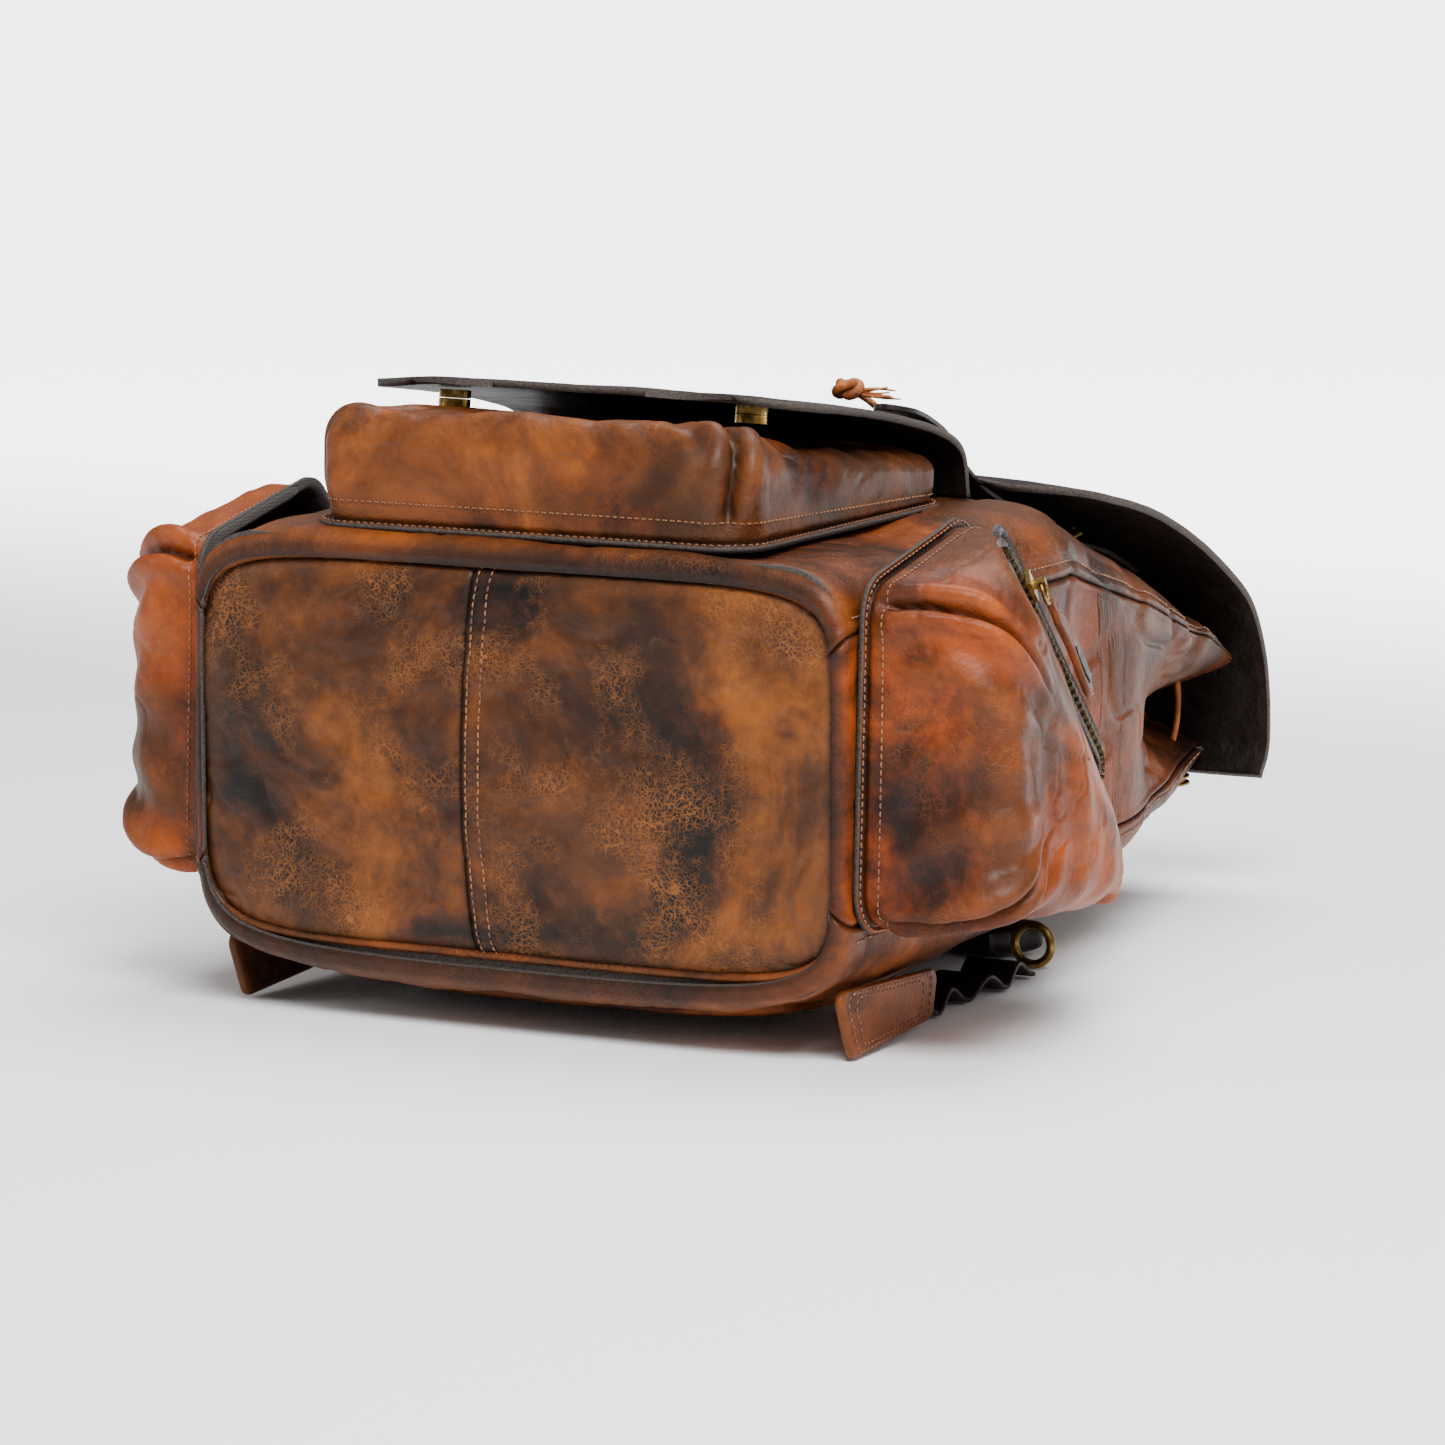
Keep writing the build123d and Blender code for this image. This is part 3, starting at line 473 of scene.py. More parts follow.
def tubeAlong(name, path, radius, material, sides=10):
    # a round tube: circles square to the path, carried along it without twist
    path = np.asarray(path, float)
    ahead = unit(np.gradient(path, axis=0))
    n = np.array([0, 0, 1.0]) if abs(ahead[0, 2]) < 0.9 else np.array([1.0, 0, 0])
    frames = []
    for t in ahead:
        n = unit(n - t * (n @ t))
        frames.append(n)
    n = np.array(frames)
    b = np.cross(ahead, n)
    turn = np.linspace(0, 2 * np.pi, sides, endpoint=False)
    r = np.broadcast_to(np.asarray(radius, float), (len(path),))
    ring = (path[None] + r[None, :, None] * (np.cos(turn)[:, None, None] * n[None]
                                              + np.sin(turn)[:, None, None] * b[None]))
    return surface(name, ring, closedU=True, material=material)


def squircle(t, a, b, power):
    # superellipse |x/a|^power + |y/b|^power = 1 at the angle t
    c, s = np.cos(t), np.sin(t)
    r = (np.abs(c) ** power + np.abs(s) ** power) ** (-1 / power)
    return a * c * r, b * s * r


def bell(x, width):
    return np.exp(-(x / width) ** 2)


def ease(x, low, high):
    t = np.clip((x - low) / (high - low), 0, 1)
    return t * t * (3 - 2 * t)


bagCentre = (0, -0.03, 0.12)
bodyLook = dict(baseY=-0.242, halfWidth=0.160, backZ=0.026, frontZ=0.214, bend=0.227, mouth=0.467,
                mouthHalf=0.148, mouthBackZ=0.058, mouthFrontZ=0.128, edgeRoll=0.011, power=8.0,
                mouthPower=3.4, foldStart=0.288, foldDepth=0.42, backSag=0.015, gussetTop=0.302,
                skirtStart=0.255, leather=0.0022,
                rumpleSize=0.055, rumple=0.0032, creaseSize=0.026, crease=0.0016, calm=0.85, crumpled=0.8,
                seamSwell=0.0012, seamDip=0.0008, liningGap=0.0085, liningTop=0.33, liningThickness=0.0008)


def backSag(x, y):
    # the soft back hangs towards the floor between the harness straps, most near the base
    return bodyLook["backSag"] * bell(y + 0.165, 0.085) * (1 - np.clip(np.abs(x) / 0.150, 0, 1) ** 3)


def bodyPoint(t, h):
    # the section at height h is a superellipse that tapers towards the mouth; its rim rolls in at the base,
    # and above the gussets its sides fold inwards as a bell around mid height
    k = bodyLook
    share = np.clip((h - k["bend"]) / (k["mouth"] - k["bend"]), 0, 1)
    half = k["halfWidth"] + share * (k["mouthHalf"] - k["halfWidth"])
    low = k["backZ"] + share * (k["mouthBackZ"] - k["backZ"])
    high = k["frontZ"] + share * (k["mouthFrontZ"] - k["frontZ"])
    roll = k["edgeRoll"]
    inward = roll * (1 - np.sqrt(np.clip(1 - (1 - np.clip(h / roll, 0, 1)) ** 2, 0, 1)))
    power = k["power"] - (k["power"] - k["mouthPower"]) * share
    c, s = np.cos(t), np.sin(t)
    r = (np.abs(c) ** power + np.abs(s) ** power) ** (-1 / power)
    x = (half - inward * 0.6) * c * r
    mid = (low + high) / 2
    z = mid + ((high - low) / 2 - inward) * s * r
    fold = ease(h, k["foldStart"], k["mouth"]) * k["foldDepth"]
    x = x * (1 - fold * bell(s * r + 0.12, 0.52))
    y = k["baseY"] + h
    z = z - backSag(x, y) * ease(-s * r, 0.0, 0.95)
    return np.stack([x, y, z], -1)


def bodyPanel(name, tLow, tHigh, hLow, hHigh, steps, look, node):
    # a strip of the body between two seams, its rows closer together at the base; rumpled by noise cut by
    # creases, and along each seam a dip with a swelling beside it
    k = bodyLook
    t = np.linspace(tLow, tHigh, steps[0])[:, None]
    h = np.linspace(0, 1, steps[1])[None, :]
    crowd = 0.45 if hLow == 0 else 0
    h = hLow + (hHigh - hLow) * (h - crowd * h * (1 - h) ** 2)
    t, h = np.broadcast_arrays(t, h)
    p = bodyPoint(t, h)
    n = gridNormals(p)
    n = n * np.sign((n * (p - np.array(bagCentre))).sum())
    # the emptied upper front is crumpled most, the back least, where the handle lies against it
    rumple = k["calm"] + k["crumpled"] * ease(h, 0.27, 0.40) * ease(np.sin(t), -0.3, 0.3)
    big = noise(p, k["rumpleSize"], 3, 2)
    creases = np.abs(noise(p * np.array([1, 0.55, 1]), k["creaseSize"], 4, 2))
    lift = rumple * (k["rumple"] * big - k["crease"] * np.exp(-(creases / 0.12) ** 2))
    p = p + n * (lift * ease(h, 0.0, 0.02))[..., None]
    wear = np.clip(0.25 + 0.45 * big + 0.35 * bell(h - 0.008, 0.006), 0, 1)
    # painted shade along the base seam and along the side seams
    paintedShade = 0.8 * bell(h, 0.0022)
    for side in (tLow, tHigh):
        gap = np.abs(t - side)
        swell = k["seamSwell"] * bell(gap - 0.02, 0.014) - k["seamDip"] * bell(gap, 0.012)
        p = p + n * swell[..., None]
        paintedShade = np.maximum(paintedShade, 0.7 * bell(gap, 0.006))
    obj = surface(name, p, away=bagCentre, attributes={"wear": wear, "paintedShade": paintedShade}, material=look,
                  thickness=k["leather"], inner=liningMat)
    place(obj, "body", node, "tan_leather")
    return p, n


rightSeam, leftSeam = 0.60, math.pi - 0.60
backRight, backLeft = -0.56, -math.pi + 0.56
stitchLift = 0.0005


def makeBody():
    k = bodyLook
    fp, fn = bodyPanel("frontPanelLeather", rightSeam, leftSeam, 0.0, k["mouth"], (150, 190),
                       leathers["body"], ["front_panel"])
    bp, bn = bodyPanel("backPanelLeather", backLeft, backRight, 0.0, k["mouth"], (110, 150),
                       leathers["body"], ["back_panel"])
    for side, span in (("right", (backRight, rightSeam)), ("left", (leftSeam, 2 * math.pi + backLeft))):
        bodyPanel("gussetLeather_" + side, *span, 0.0, k["gussetTop"], (90, 130), leathers["side"],
                  ["side_panel_" + side])
        bodyPanel("sideSkirtLeather_" + side, *span, k["skirtStart"], k["mouth"], (90, 110), leathers["body"],
                  ["side_skirt_" + side])
    runs = []
    for p, n, columns in ((fp, fn, (4, -5)), (bp, bn, (3, -4))):
        for column in columns:
            runs.append((p[column, 8:-2] + n[column, 8:-2] * stitchLift, n[column, 8:-2]))
    runs.append((fp[::2, -6] + fn[::2, -6] * stitchLift, fn[::2, -6]))
    stitches("bodyStitches", runs, "body", threadMat)
    t, h = np.meshgrid(np.linspace(0, 2 * np.pi, 160, endpoint=False), np.linspace(0.007, k["liningTop"], 60),
                       indexing="ij")
    p = bodyPoint(t, h)
    away = unit(p - (np.array([0, 0, bagCentre[2]]) + p * [0, 1, 0]))
    lining = surface("liningCloth", p - away * k["liningGap"], closedU=True, material=liningMat,
                     thickness=k["liningThickness"], edge=liningMat)
    place(lining, "body", ["lining"], "lining_cloth")
    x, z = squircle(np.linspace(0, 2 * np.pi, 261), *weltLook["half"], baseLook["power"])
    welt = np.stack([x, np.full_like(x, k["baseY"] + weltLook["lift"]), z + baseLook["midZ"]], -1)
    strap("baseWeltPiping", welt, weltLook["radius"], 2 * weltLook["radius"], leathers["body"], "body",
          ["base_welt"], across=(0, 1, 0), slot="tan_leather", section=2)
    print("body panels made")


baseLook = dict(halfWidth=0.1555, halfDepth=0.0835, midZ=0.1195, seamX=-0.017, crown=0.0042, rim=0.0060,
                power=7.0, bow=0.004, dent=0.0016, crease=0.0007, seamRidge=0.0013, leather=0.0022,
                seamStep={1: 0.0009, -1: 0.0002}, stitchRows=(0.0032, 0.0105))
weltLook = dict(half=(0.1562, 0.0842), lift=0.0045, radius=0.0021)


def makeBase():
    # each half is a strip of the superellipse's inside: x runs from the seam to the rim, z fills its height;
    # y = crown of 1 - rho^2 and a rim that dives as rho^18 into the seam, less a groove along the centre seam
    k = baseLook
    runs = []
    for name, piece, sign in (("base_panel_right", "basePanel_rightLeather", 1),
                              ("base_panel_left", "basePanel_leftLeather", -1)):
        u = np.sin(np.linspace(0, 1, 90) * np.pi / 2)[:, None]
        w = np.sin(np.linspace(-1, 1, 110) * np.pi / 2)[None, :]
        x0 = k["seamX"] - k["bow"] * (1 - w ** 2)
        x = x0 + (sign * k["halfWidth"] - x0) * u * 0.9995
        across = np.abs(x / k["halfWidth"])
        fill = (1 - np.minimum(across, 0.99999) ** k["power"]) ** (1 / k["power"])
        z = k["halfDepth"] * fill * w
        rho = (across ** k["power"] + np.abs(z / k["halfDepth"]) ** k["power"]) ** (1 / k["power"])
        flat = (x / k["halfWidth"]) ** 2 * 0.5 + (z / k["halfDepth"]) ** 2 * 0.5
        y = bodyLook["baseY"] - k["crown"] * (1 - flat) + k["rim"] * rho ** 18
        p = np.stack([x, y, k["midZ"] + z], -1)
        offSeam = np.abs(x - x0)
        dent = noise(p, 0.05, 11, 3)
        fine = np.abs(noise(p, 0.017, 12, 2))
        y = y - k["dent"] * dent + k["crease"] * np.exp(-(fine / 0.1) ** 2)
        y = y + k["seamRidge"] * bell(offSeam, 0.0013) - k["seamStep"][sign] * ease(0.012 - offSeam, 0, 0.004)
        p[..., 1] = y
        wear = np.clip(0.2 + 0.5 * dent + 0.5 * ease(rho, 0.86, 0.95) * (1 - ease(rho, 0.96, 1.0)), 0, 1)
        # painted shade where the rim dives into the seam and along the centre seam
        paintedShade = np.maximum(0.9 * ease(rho, 0.965, 1.0), 0.75 * bell(offSeam, 0.0012))
        obj = surface(piece, p, away=(0, 0.1, 0.12), material=leathers["base"],
                      attributes={"wear": wear, "paintedShade": paintedShade}, thickness=k["leather"])
        place(obj, "body", [name], "tan_leather")
        for off in (k["stitchRows"] if sign > 0 else ()):
            row = int(np.argmin(np.abs((x - x0)[:, 55] - off)))
            runs.append((p[row, 3:-3] - np.array([0, 0.0004, 0]), (0, -1, 0)))
    stitches("baseStitches", runs, "body", threadMat)
    print("base made")


def smoothPath(points, count, crowd=1.0):
    # a Catmull-Rom curve through the points, read at even steps of length, or crowded towards its end
    p = np.asarray(points, float)
    p = np.concatenate([[2 * p[0] - p[1]], p, [2 * p[-1] - p[-2]]])
    t = np.linspace(0, len(points) - 1, 24 * len(points))
    i = np.minimum(t.astype(int), len(points) - 2)
    f = (t - i)[:, None]
    a, b, c, d = p[i], p[i + 1], p[i + 2], p[i + 3]
    q = 0.5 * (2 * b + (c - a) * f + (2 * a - 5 * b + 4 * c - d) * f ** 2 + (3 * b - a - 3 * c + d) * f ** 3)
    run = lengthAlong(q)
    return readAt(q, run, run[-1] * (1 - (1 - np.linspace(0, 1, count)) ** crowd))


def roundedPolygon(corners, radius, count):
    # straight sides joined by arcs of one radius, read at even steps of length, and the share of the length
    # at each arc's middle
    c = np.asarray(corners, float)
    rows, marks = [], []
    for i in range(len(c)):
        here, before, after = c[i], c[i - 1], c[(i + 1) % len(c)]
        a, b = unit(before - here), unit(after - here)
        half = math.acos(np.clip(a @ b, -1, 1)) / 2
        middle = here + unit(a + b) * radius / math.sin(half)
        start, end = here + a * radius / math.tan(half), here + b * radius / math.tan(half)
        v0, v1 = start - middle, end - middle
        sweep = np.linspace(0, 1, 12)[:, None]
        arc = v0 * np.sin((1 - sweep) * (math.pi - 2 * half)) + v1 * np.sin(sweep * (math.pi - 2 * half))
        rows.append(middle + arc / math.sin(math.pi - 2 * half))
        marks.append(sum(len(r) for r in rows) - 7)
    p = np.concatenate(rows)
    ring = np.concatenate([p, p[:1]])
    run = lengthAlong(ring)
    return readAt(ring, run, np.linspace(0, run[-1], count, endpoint=False)), run[marks] / run[-1]


def tub(name, outline, darts, lift, look, wear, seed, node, material, calm=None, cols=150):
    # a pouch sewn down round its outline: the profile runs in from a flat flange, up the side wall, over a
    # roll, and across the face to the middle. lift(a, b, share) gives the point above the outline's plane;
    # darts pinch the roll at the corners, with soft folds fanning out between them; calm is a smooth stretch
    rows = len(outline)
    middle = outline.mean(0)
    s = np.linspace(0, 1, cols)
    flange, wall, roll = 0.05, 0.30, 0.62
    scale = np.interp(s, [0, flange, wall], [1 + look["flange"], 1, 1.0])
    turn = np.clip((s - wall) / (roll - wall), 0, 1) * np.pi / 2
    scale = np.where(s > wall, 1 - look["roll"] * (1 - np.cos(turn)), scale)
    inside = np.clip((s - roll) / (1 - roll), 0, 1)
    scale = scale * (1 - inside)
    share = np.interp(s, [flange, wall], [0.0, look["straight"]])
    share = np.where(s > wall, look["straight"] + (1 - look["straight"]) * np.sin(turn), share)
    share = share + look["crown"] * (1 - (1 - inside) ** 2) * (s > roll)
    flat = middle + (outline - middle)[:, None, :] * scale[None, :, None]
    p = lift(flat[..., 0], flat[..., 1], np.broadcast_to(share, (rows, cols)))
    n = gridNormals(p, closedU=True)
    out = p - p.reshape(-1, 3).mean(0)
    n = n * np.sign((n * out).sum())
    around = (np.arange(rows) / rows)[:, None]
    fanWindow = ease(s, 0.10, 0.42) * (1 - ease(s, 0.55, 0.80))
    pinch = np.zeros((rows, cols))
    fan = np.zeros((rows, cols))
    for k, (mark, strength) in enumerate(darts):
        gap = (around - mark + 0.5) % 1 - 0.5
        gap = gap + 0.004 * np.sin(7 * s[None] + k)
        tight = ease(s, 0.06, 0.2) * (1 - ease(s, 0.5, 0.8))
        pinch += strength * tight[None] * (bell(gap, 0.0035) - 0.55 * bell(np.abs(gap) - 0.012, 0.009))
        ripples = np.cos((gap + 0.01 * np.sin(11 * s + k)[None]) * 2 * np.pi * look["ripples"])
        fan += strength * fanWindow[None] * bell(gap, 0.10) * ripples
    puff = noise(p * look["stretch"], look["puffSize"], seed, 2)
    small = noise(p * look["stretch"], look["puffSize"] * 0.38, seed + 3, 2)
    creases = np.exp(-(np.abs(noise(p, 0.02, seed + 5, 2)) / 0.09) ** 2)
    grow = ease(s, flange, 0.4)[None]
    move = (-look["pinch"] * pinch + look["fan"] * fan + grow * (look["puff"] * puff + look["small"] * small)
            - 0.0005 * grow * creases - 0.0016 * bell(s - flange, 0.016)[None])
    if calm is not None:
        low, high = calm
        band = ease(around, low - 0.01, low) * (1 - ease(around, high, high + 0.01))
        band = band * (1 - ease(s, 0.52, 0.64))[None]
        move = move * (1 - band) - 0.0006 * band
    p = p + n * move[..., None]
    shade = np.clip(wear + 0.45 * puff + 0.25 * small + 0.55 * np.clip(fan, 0, 1), 0, 1)
    # painted shade in the groove along the sewn-down flange and in the dart pinches
    paintedShade = np.clip(0.85 * bell(s - flange, 0.012)[None] + 0.7 * np.clip(pinch, 0, 1), 0, 1)
    obj = surface(name, p, closedU=True, attributes={"wear": shade, "paintedShade": paintedShade}, material=material,
                  thickness=0.0021, inner=liningMat, poles=True)
    place(obj, "body", [node], "tan_leather")
    runs = []
    for column in (int(flange * 0.5 * cols), int(0.13 * cols)):
        up = np.concatenate([n[:, column], n[:1, column]])
        runs.append((np.concatenate([p[:, column], p[:1, column]]) + up * 0.0004, up))
    return runs


frontPocketLook = dict(halfWidth=0.105, low=-0.227, high=-0.037, baseZ=0.214, faceZ=0.2635, faceAt=-0.212,
                       slope=-0.158, leather=0.0022, corner=0.020, flange=0.035, roll=0.13, straight=0.62,
                       crown=0.05, ripples=30, puffSize=0.05, pinch=0.0058, fan=0.0004, puff=0.0034,
                       small=0.0010, stretch=(0.8, 1, 1))


def makeFrontPocket():
    k = frontPocketLook
    w = k["halfWidth"]
    corners = [(-w, k["low"]), (w, k["low"]), (w, k["high"]), (-w, k["high"])]
    outline, marks = roundedPolygon(corners, k["corner"], 420)

    def lift(x, y, share):
        face = k["faceZ"] + (y - k["faceAt"]) * k["slope"]
        foot = k["baseZ"] + k["leather"]
        return np.stack([x, y, foot + share * (face - foot)], -1)

    darts = list(zip(marks, (1.0, 1.15, 0.6, 0.6)))
    runs = tub("frontPocketLeather", outline, darts, lift, k, 0.5, 21, "front_pocket", leathers["pocket"])
    stitches("frontPocketStitches", runs, "body", threadMat)
    print("front pocket made")


zipLook = dict(x=0.183, inset=0.011, halfWidth=0.0075, tape=0.0009, tooth=(0.0013, 0.0050, 0.0021),
               teethPitch=0.0024, sway=0.0006, seam=0.0062)
# the zip's own axes: along it, and out of the pocket with a lean towards the rim
zipFrame = dict(top=(-0.13291, 0.20336), ahead=(0.694658, -0.719340), out=(0.719340, 0.694658), up=0.91037,
                lean=0.41380)
# millimetres: the leather teardrop hangs from its start; its half width grows from the neck
pullerLook = dict(start=27.2, length=62, lift=8.6, bow=0.9, neck=2.2, middleGrow=3.4, endGrow=3.9,
                  endRound=9.5, thickness=3.2, inlay=(11.5, 4.4), inlayAt=45)


def blocks(name, centres, ahead, up, size, material):
    # one eight-cornered block per point, its sides pinched a little towards the top
    side = np.cross(up, ahead)
    corner = np.array([[x, y, z] for z in (-1, 1) for y in (-1, 1) for x in (-1, 1)], float)
    corner[4:, :2] *= 0.8
    half = np.array(size) / 2
    verts = (centres[:, None] + corner[None, :, :1] * half[0] * ahead[:, None]
             + corner[None, :, 1:2] * half[1] * side[:, None] + corner[None, :, 2:] * half[2] * up[:, None])
    quads = np.array([[0, 2, 3, 1], [4, 5, 7, 6], [0, 1, 5, 4], [2, 6, 7, 3], [0, 4, 6, 2], [1, 3, 7, 5]])
    faces = (quads[None] + 8 * np.arange(len(centres))[:, None, None]).reshape(-1, 4)
    obj = joined(name, [(verts.reshape(-1, 3), faces)], material)
    obj.data.polygons.foreach_set("use_smooth", np.zeros(len(obj.data.polygons), bool))
    return obj


def plate(name, outline, normal, thickness, material, edgeRound=0.35):
    # a flat piece with rounded edges: rings of the outline run from one face's middle to the other's
    o = np.asarray(outline, float)
    middle, n = o.mean(0), np.asarray(normal, float)
    size = np.linalg.norm(o - middle, axis=1).mean()
    bend = np.linspace(0, np.pi, 9)
    inset = thickness * edgeRound * (1 - np.sin(bend)) / size
    scale = np.concatenate([[0, 0.5, 0.85], 1 - inset, [0.85, 0.5, 0]])
    height = np.concatenate([[1, 1, 1], np.cos(bend), [-1, -1, -1]]) * thickness / 2
    p = middle + (o - middle)[:, None] * scale[None, :, None] + n * height[None, :, None]
    wear = np.clip(0.2 + 0.6 * (scale > 0.9), 0, 1)[None]
    return surface(name, p, closedU=True, attributes={"wear": wear, "paintedShade": 0.0}, material=material,
                   poles=True)


def zipPoint(sign, d, lift, v=0.0):
    # millimetres along the zip, off its bevel, and across it towards the pocket's edge
    a, o, t = (np.array(zipFrame[key]) for key in ("ahead", "out", "top"))
    y, z = t + (d * a + (lift * zipFrame["lean"] + v * zipFrame["up"]) * o) * mm
    return np.array([sign * (zipLook["x"] + (lift * zipFrame["up"] - v * zipFrame["lean"]) * mm), y, z])


def makeZip(side, sign, outline, marks):
    # a woven tape with a row of teeth, laid round the pocket's edge, and a stitched leather teardrop to pull
    count = len(outline)
    rows = np.arange(int((marks[2] - 0.012) * count), int((marks[4] - 0.05) * count))
    flow = unit(np.gradient(outline[rows], axis=0))
    out = np.stack([-flow[:, 1], flow[:, 0]], -1)
    out *= np.sign((out * (outline[rows] - outline.mean(0))).sum())
    bend = smoothPath(outline[rows] - out * zipLook["inset"], 260)
    path = np.stack([np.full(len(bend), sign * zipLook["x"]), *bend.T], -1)
    ahead = unit(np.gradient(path, axis=0))
    out = np.cross(ahead, (1, 0, 0))
    out *= np.sign((out * (path - path.mean(0))).sum())
    up = out * zipFrame["lean"] + np.array([sign * zipFrame["up"], 0, 0])
    across = out * zipFrame["up"] - np.array([sign * zipFrame["lean"], 0, 0])
    strap("zipTapeWeave_" + side, path + up * 0.0004, zipLook["halfWidth"], zipLook["tape"], tapeMat, "body",
          ["zip_tape_" + side], across=across, slot="zip_tape")
    centres, toothAhead = resample(path + up * 0.0019, zipLook["teethPitch"])
    which = np.linspace(0, len(path) - 1, len(centres)).astype(int)
    toothUp = up[which] - toothAhead * (up[which] * toothAhead).sum(1, keepdims=True)
    sway = np.where(np.arange(len(centres)) % 2, zipLook["sway"], -zipLook["sway"])
    teeth = blocks("zipTeethRow_" + side, centres + across[which] * sway[:, None], toothAhead, toothUp,
                   zipLook["tooth"], teethMat)
    place(teeth, "body", ["zip_teeth_" + side], "antique_brass")
    edges = [(path + up * 0.0010 + across * off, up) for off in (-zipLook["seam"], zipLook["seam"])]
    stitches("zipStitches_" + side, edges, "body", darkThread)
    k = pullerLook
    phi = np.linspace(0, 2 * np.pi, 120, endpoint=False)
    d = k["length"] / 2 * (1 - np.cos(phi))
    half = k["neck"] + k["middleGrow"] * ease(d, 5.5, 10) + k["endGrow"] * ease(d, 22, 50)
    toRound = ((d - k["length"] + k["endRound"]) / k["endRound"]).clip(0, 1)
    half = half * np.sqrt(np.clip(1 - toRound ** 2, 0, 1)) * np.clip(d / 0.8, 0, 1)
    v = half * np.sign(np.sin(phi))
    rim = [zipPoint(sign, k["start"] + a, k["lift"] + k["bow"] * math.sin(a / k["length"] * 3.1), b)
           for a, b in zip(d, v)]
    n = np.array([sign * zipFrame["up"], *(zipFrame["lean"] * np.array(zipFrame["out"]))])
    along = np.array([0, *zipFrame["ahead"]])
    wide = unit(zipPoint(sign, 0, 0, 1) - zipPoint(sign, 0, 0, 0))
    puller = plate("zipPullerLeather_" + side, np.array(rim), n, k["thickness"] * mm, leathers["side"], 0.5)
    place(puller, "zip_puller_" + side, ["zip_puller_" + side], "tan_leather")
    long, short = k["inlay"]
    oval = (zipPoint(sign, k["start"] + k["inlayAt"], 9.2) + (np.cos(phi) * long * mm)[:, None] * along
            + (np.sin(phi) * short * mm)[:, None] * wide)
    window = plate("zipPullerInlay_" + side, oval + n * 0.0017, n, 0.0008, leathers["dark"])
    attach(window, "zip_puller_" + side)
    keep = (d > 9) & (d < 60.5)
    inner = np.array([zipPoint(sign, k["start"] + a, 10.5, b) for a, b in zip(d[keep], (v * 0.78)[keep])])
    middle = len(inner) // 2
    stitches("zipPullerStitches_" + side, [(inner[:middle], n), (inner[middle:], n)], "zip_puller_" + side,
             threadMat, pitch=0.0026, radius=0.00035)


# reach of the right and the left pocket; the bevel's foot height, slope, run and then the dome's slope
sidePocketLook = dict(wallX=0.160, reach={1: 0.0630, -1: 0.0460}, bevel=(0.0180, 0.4545, 0.022, 0.787),
                      rearY=-0.0309, bevelBlend=0.02, domeBlend=0.0016, leather=0.0022,
                      corners=((-0.232, 0.060), (-0.226, 0.202), (-0.1347, 0.2211), (-0.0319, 0.1146),
                               (-0.0299, 0.064), (-0.0759, 0.050)),
                      corner=0.018, flange=0.035, roll=0.30, straight=0.40, crown=0.02, ripples=17,
                      puffSize=0.06, pinch=0.0062, fan=0.0017, puff=0.0046, small=0.0017,
                      stretch=(1, 1.1, 0.5))


def makeSidePockets():
    k = sidePocketLook
    outline, marks = roundedPolygon(k["corners"], k["corner"], 460)
    for side, sign in (("right", 1), ("left", -1)):

        def lift(y, z, share):
            # the dome, cut to a bevel that rises with the distance w inwards from the zip and the rear edge;
            # both are soft minimums, -c log(sum of e^(-x / c))
            foot, rise, run, climb = k["bevel"]
            (topY, topZ), (outY, outZ) = k["corners"][2], zipFrame["out"]
            zipSide = (topY - y) * outY + (topZ - z) * outZ
            c = k["bevelBlend"]
            w = np.maximum(-c * np.log(np.exp(-zipSide / c) + np.exp(-(k["rearY"] - y) / c)) + 0.0012, 0)
            bevel = foot + rise * np.minimum(w, run) + climb * np.maximum(w - run, 0)
            dome = k["leather"] + share * k["reach"][sign] * (1 - 0.10 * np.clip((z - 0.10) / 0.12, 0, 1))
            c = k["domeBlend"]
            height = -c * np.log(np.exp(-dome / c) + np.exp(-bevel / c))
            return np.stack([sign * (k["wallX"] + height), y, z], -1)

        darts = list(zip(marks, (1.2, 1.1, 0.35, 0.5, 0.6, 0.9)))
        runs = tub("sidePocketLeather_" + side, outline, darts, lift, k, 0.42, 31 + sign,
                   "side_pocket_" + side, leathers["side"], calm=(marks[2] - 0.02, marks[4] - 0.015))
        stitches("sidePocketStitches_" + side, runs, "body", threadMat)
        makeZip(side, sign, outline, marks)
    print("side pockets and zips made")


flapSheet = dict(path=((-17, 216), (-23, 238), (-48, 252), (-80, 260), (-120, 266.5), (-188, 276)),
                 width=0.216, corner=0.030, thickness=0.0035, rows=130, cols=170, wave=0.0014, droop=0.0020)
lidSheet = dict(path=((228.5, 57), (238, 74), (237, 114), (221, 144), (193, 165), (152, 185), (95, 205),
                      (40, 219), (12, 225)),
                width=0.290, corner=0.045, thickness=0.0035, rows=190, cols=190, wave=0.0018,
                droop=0.0045)


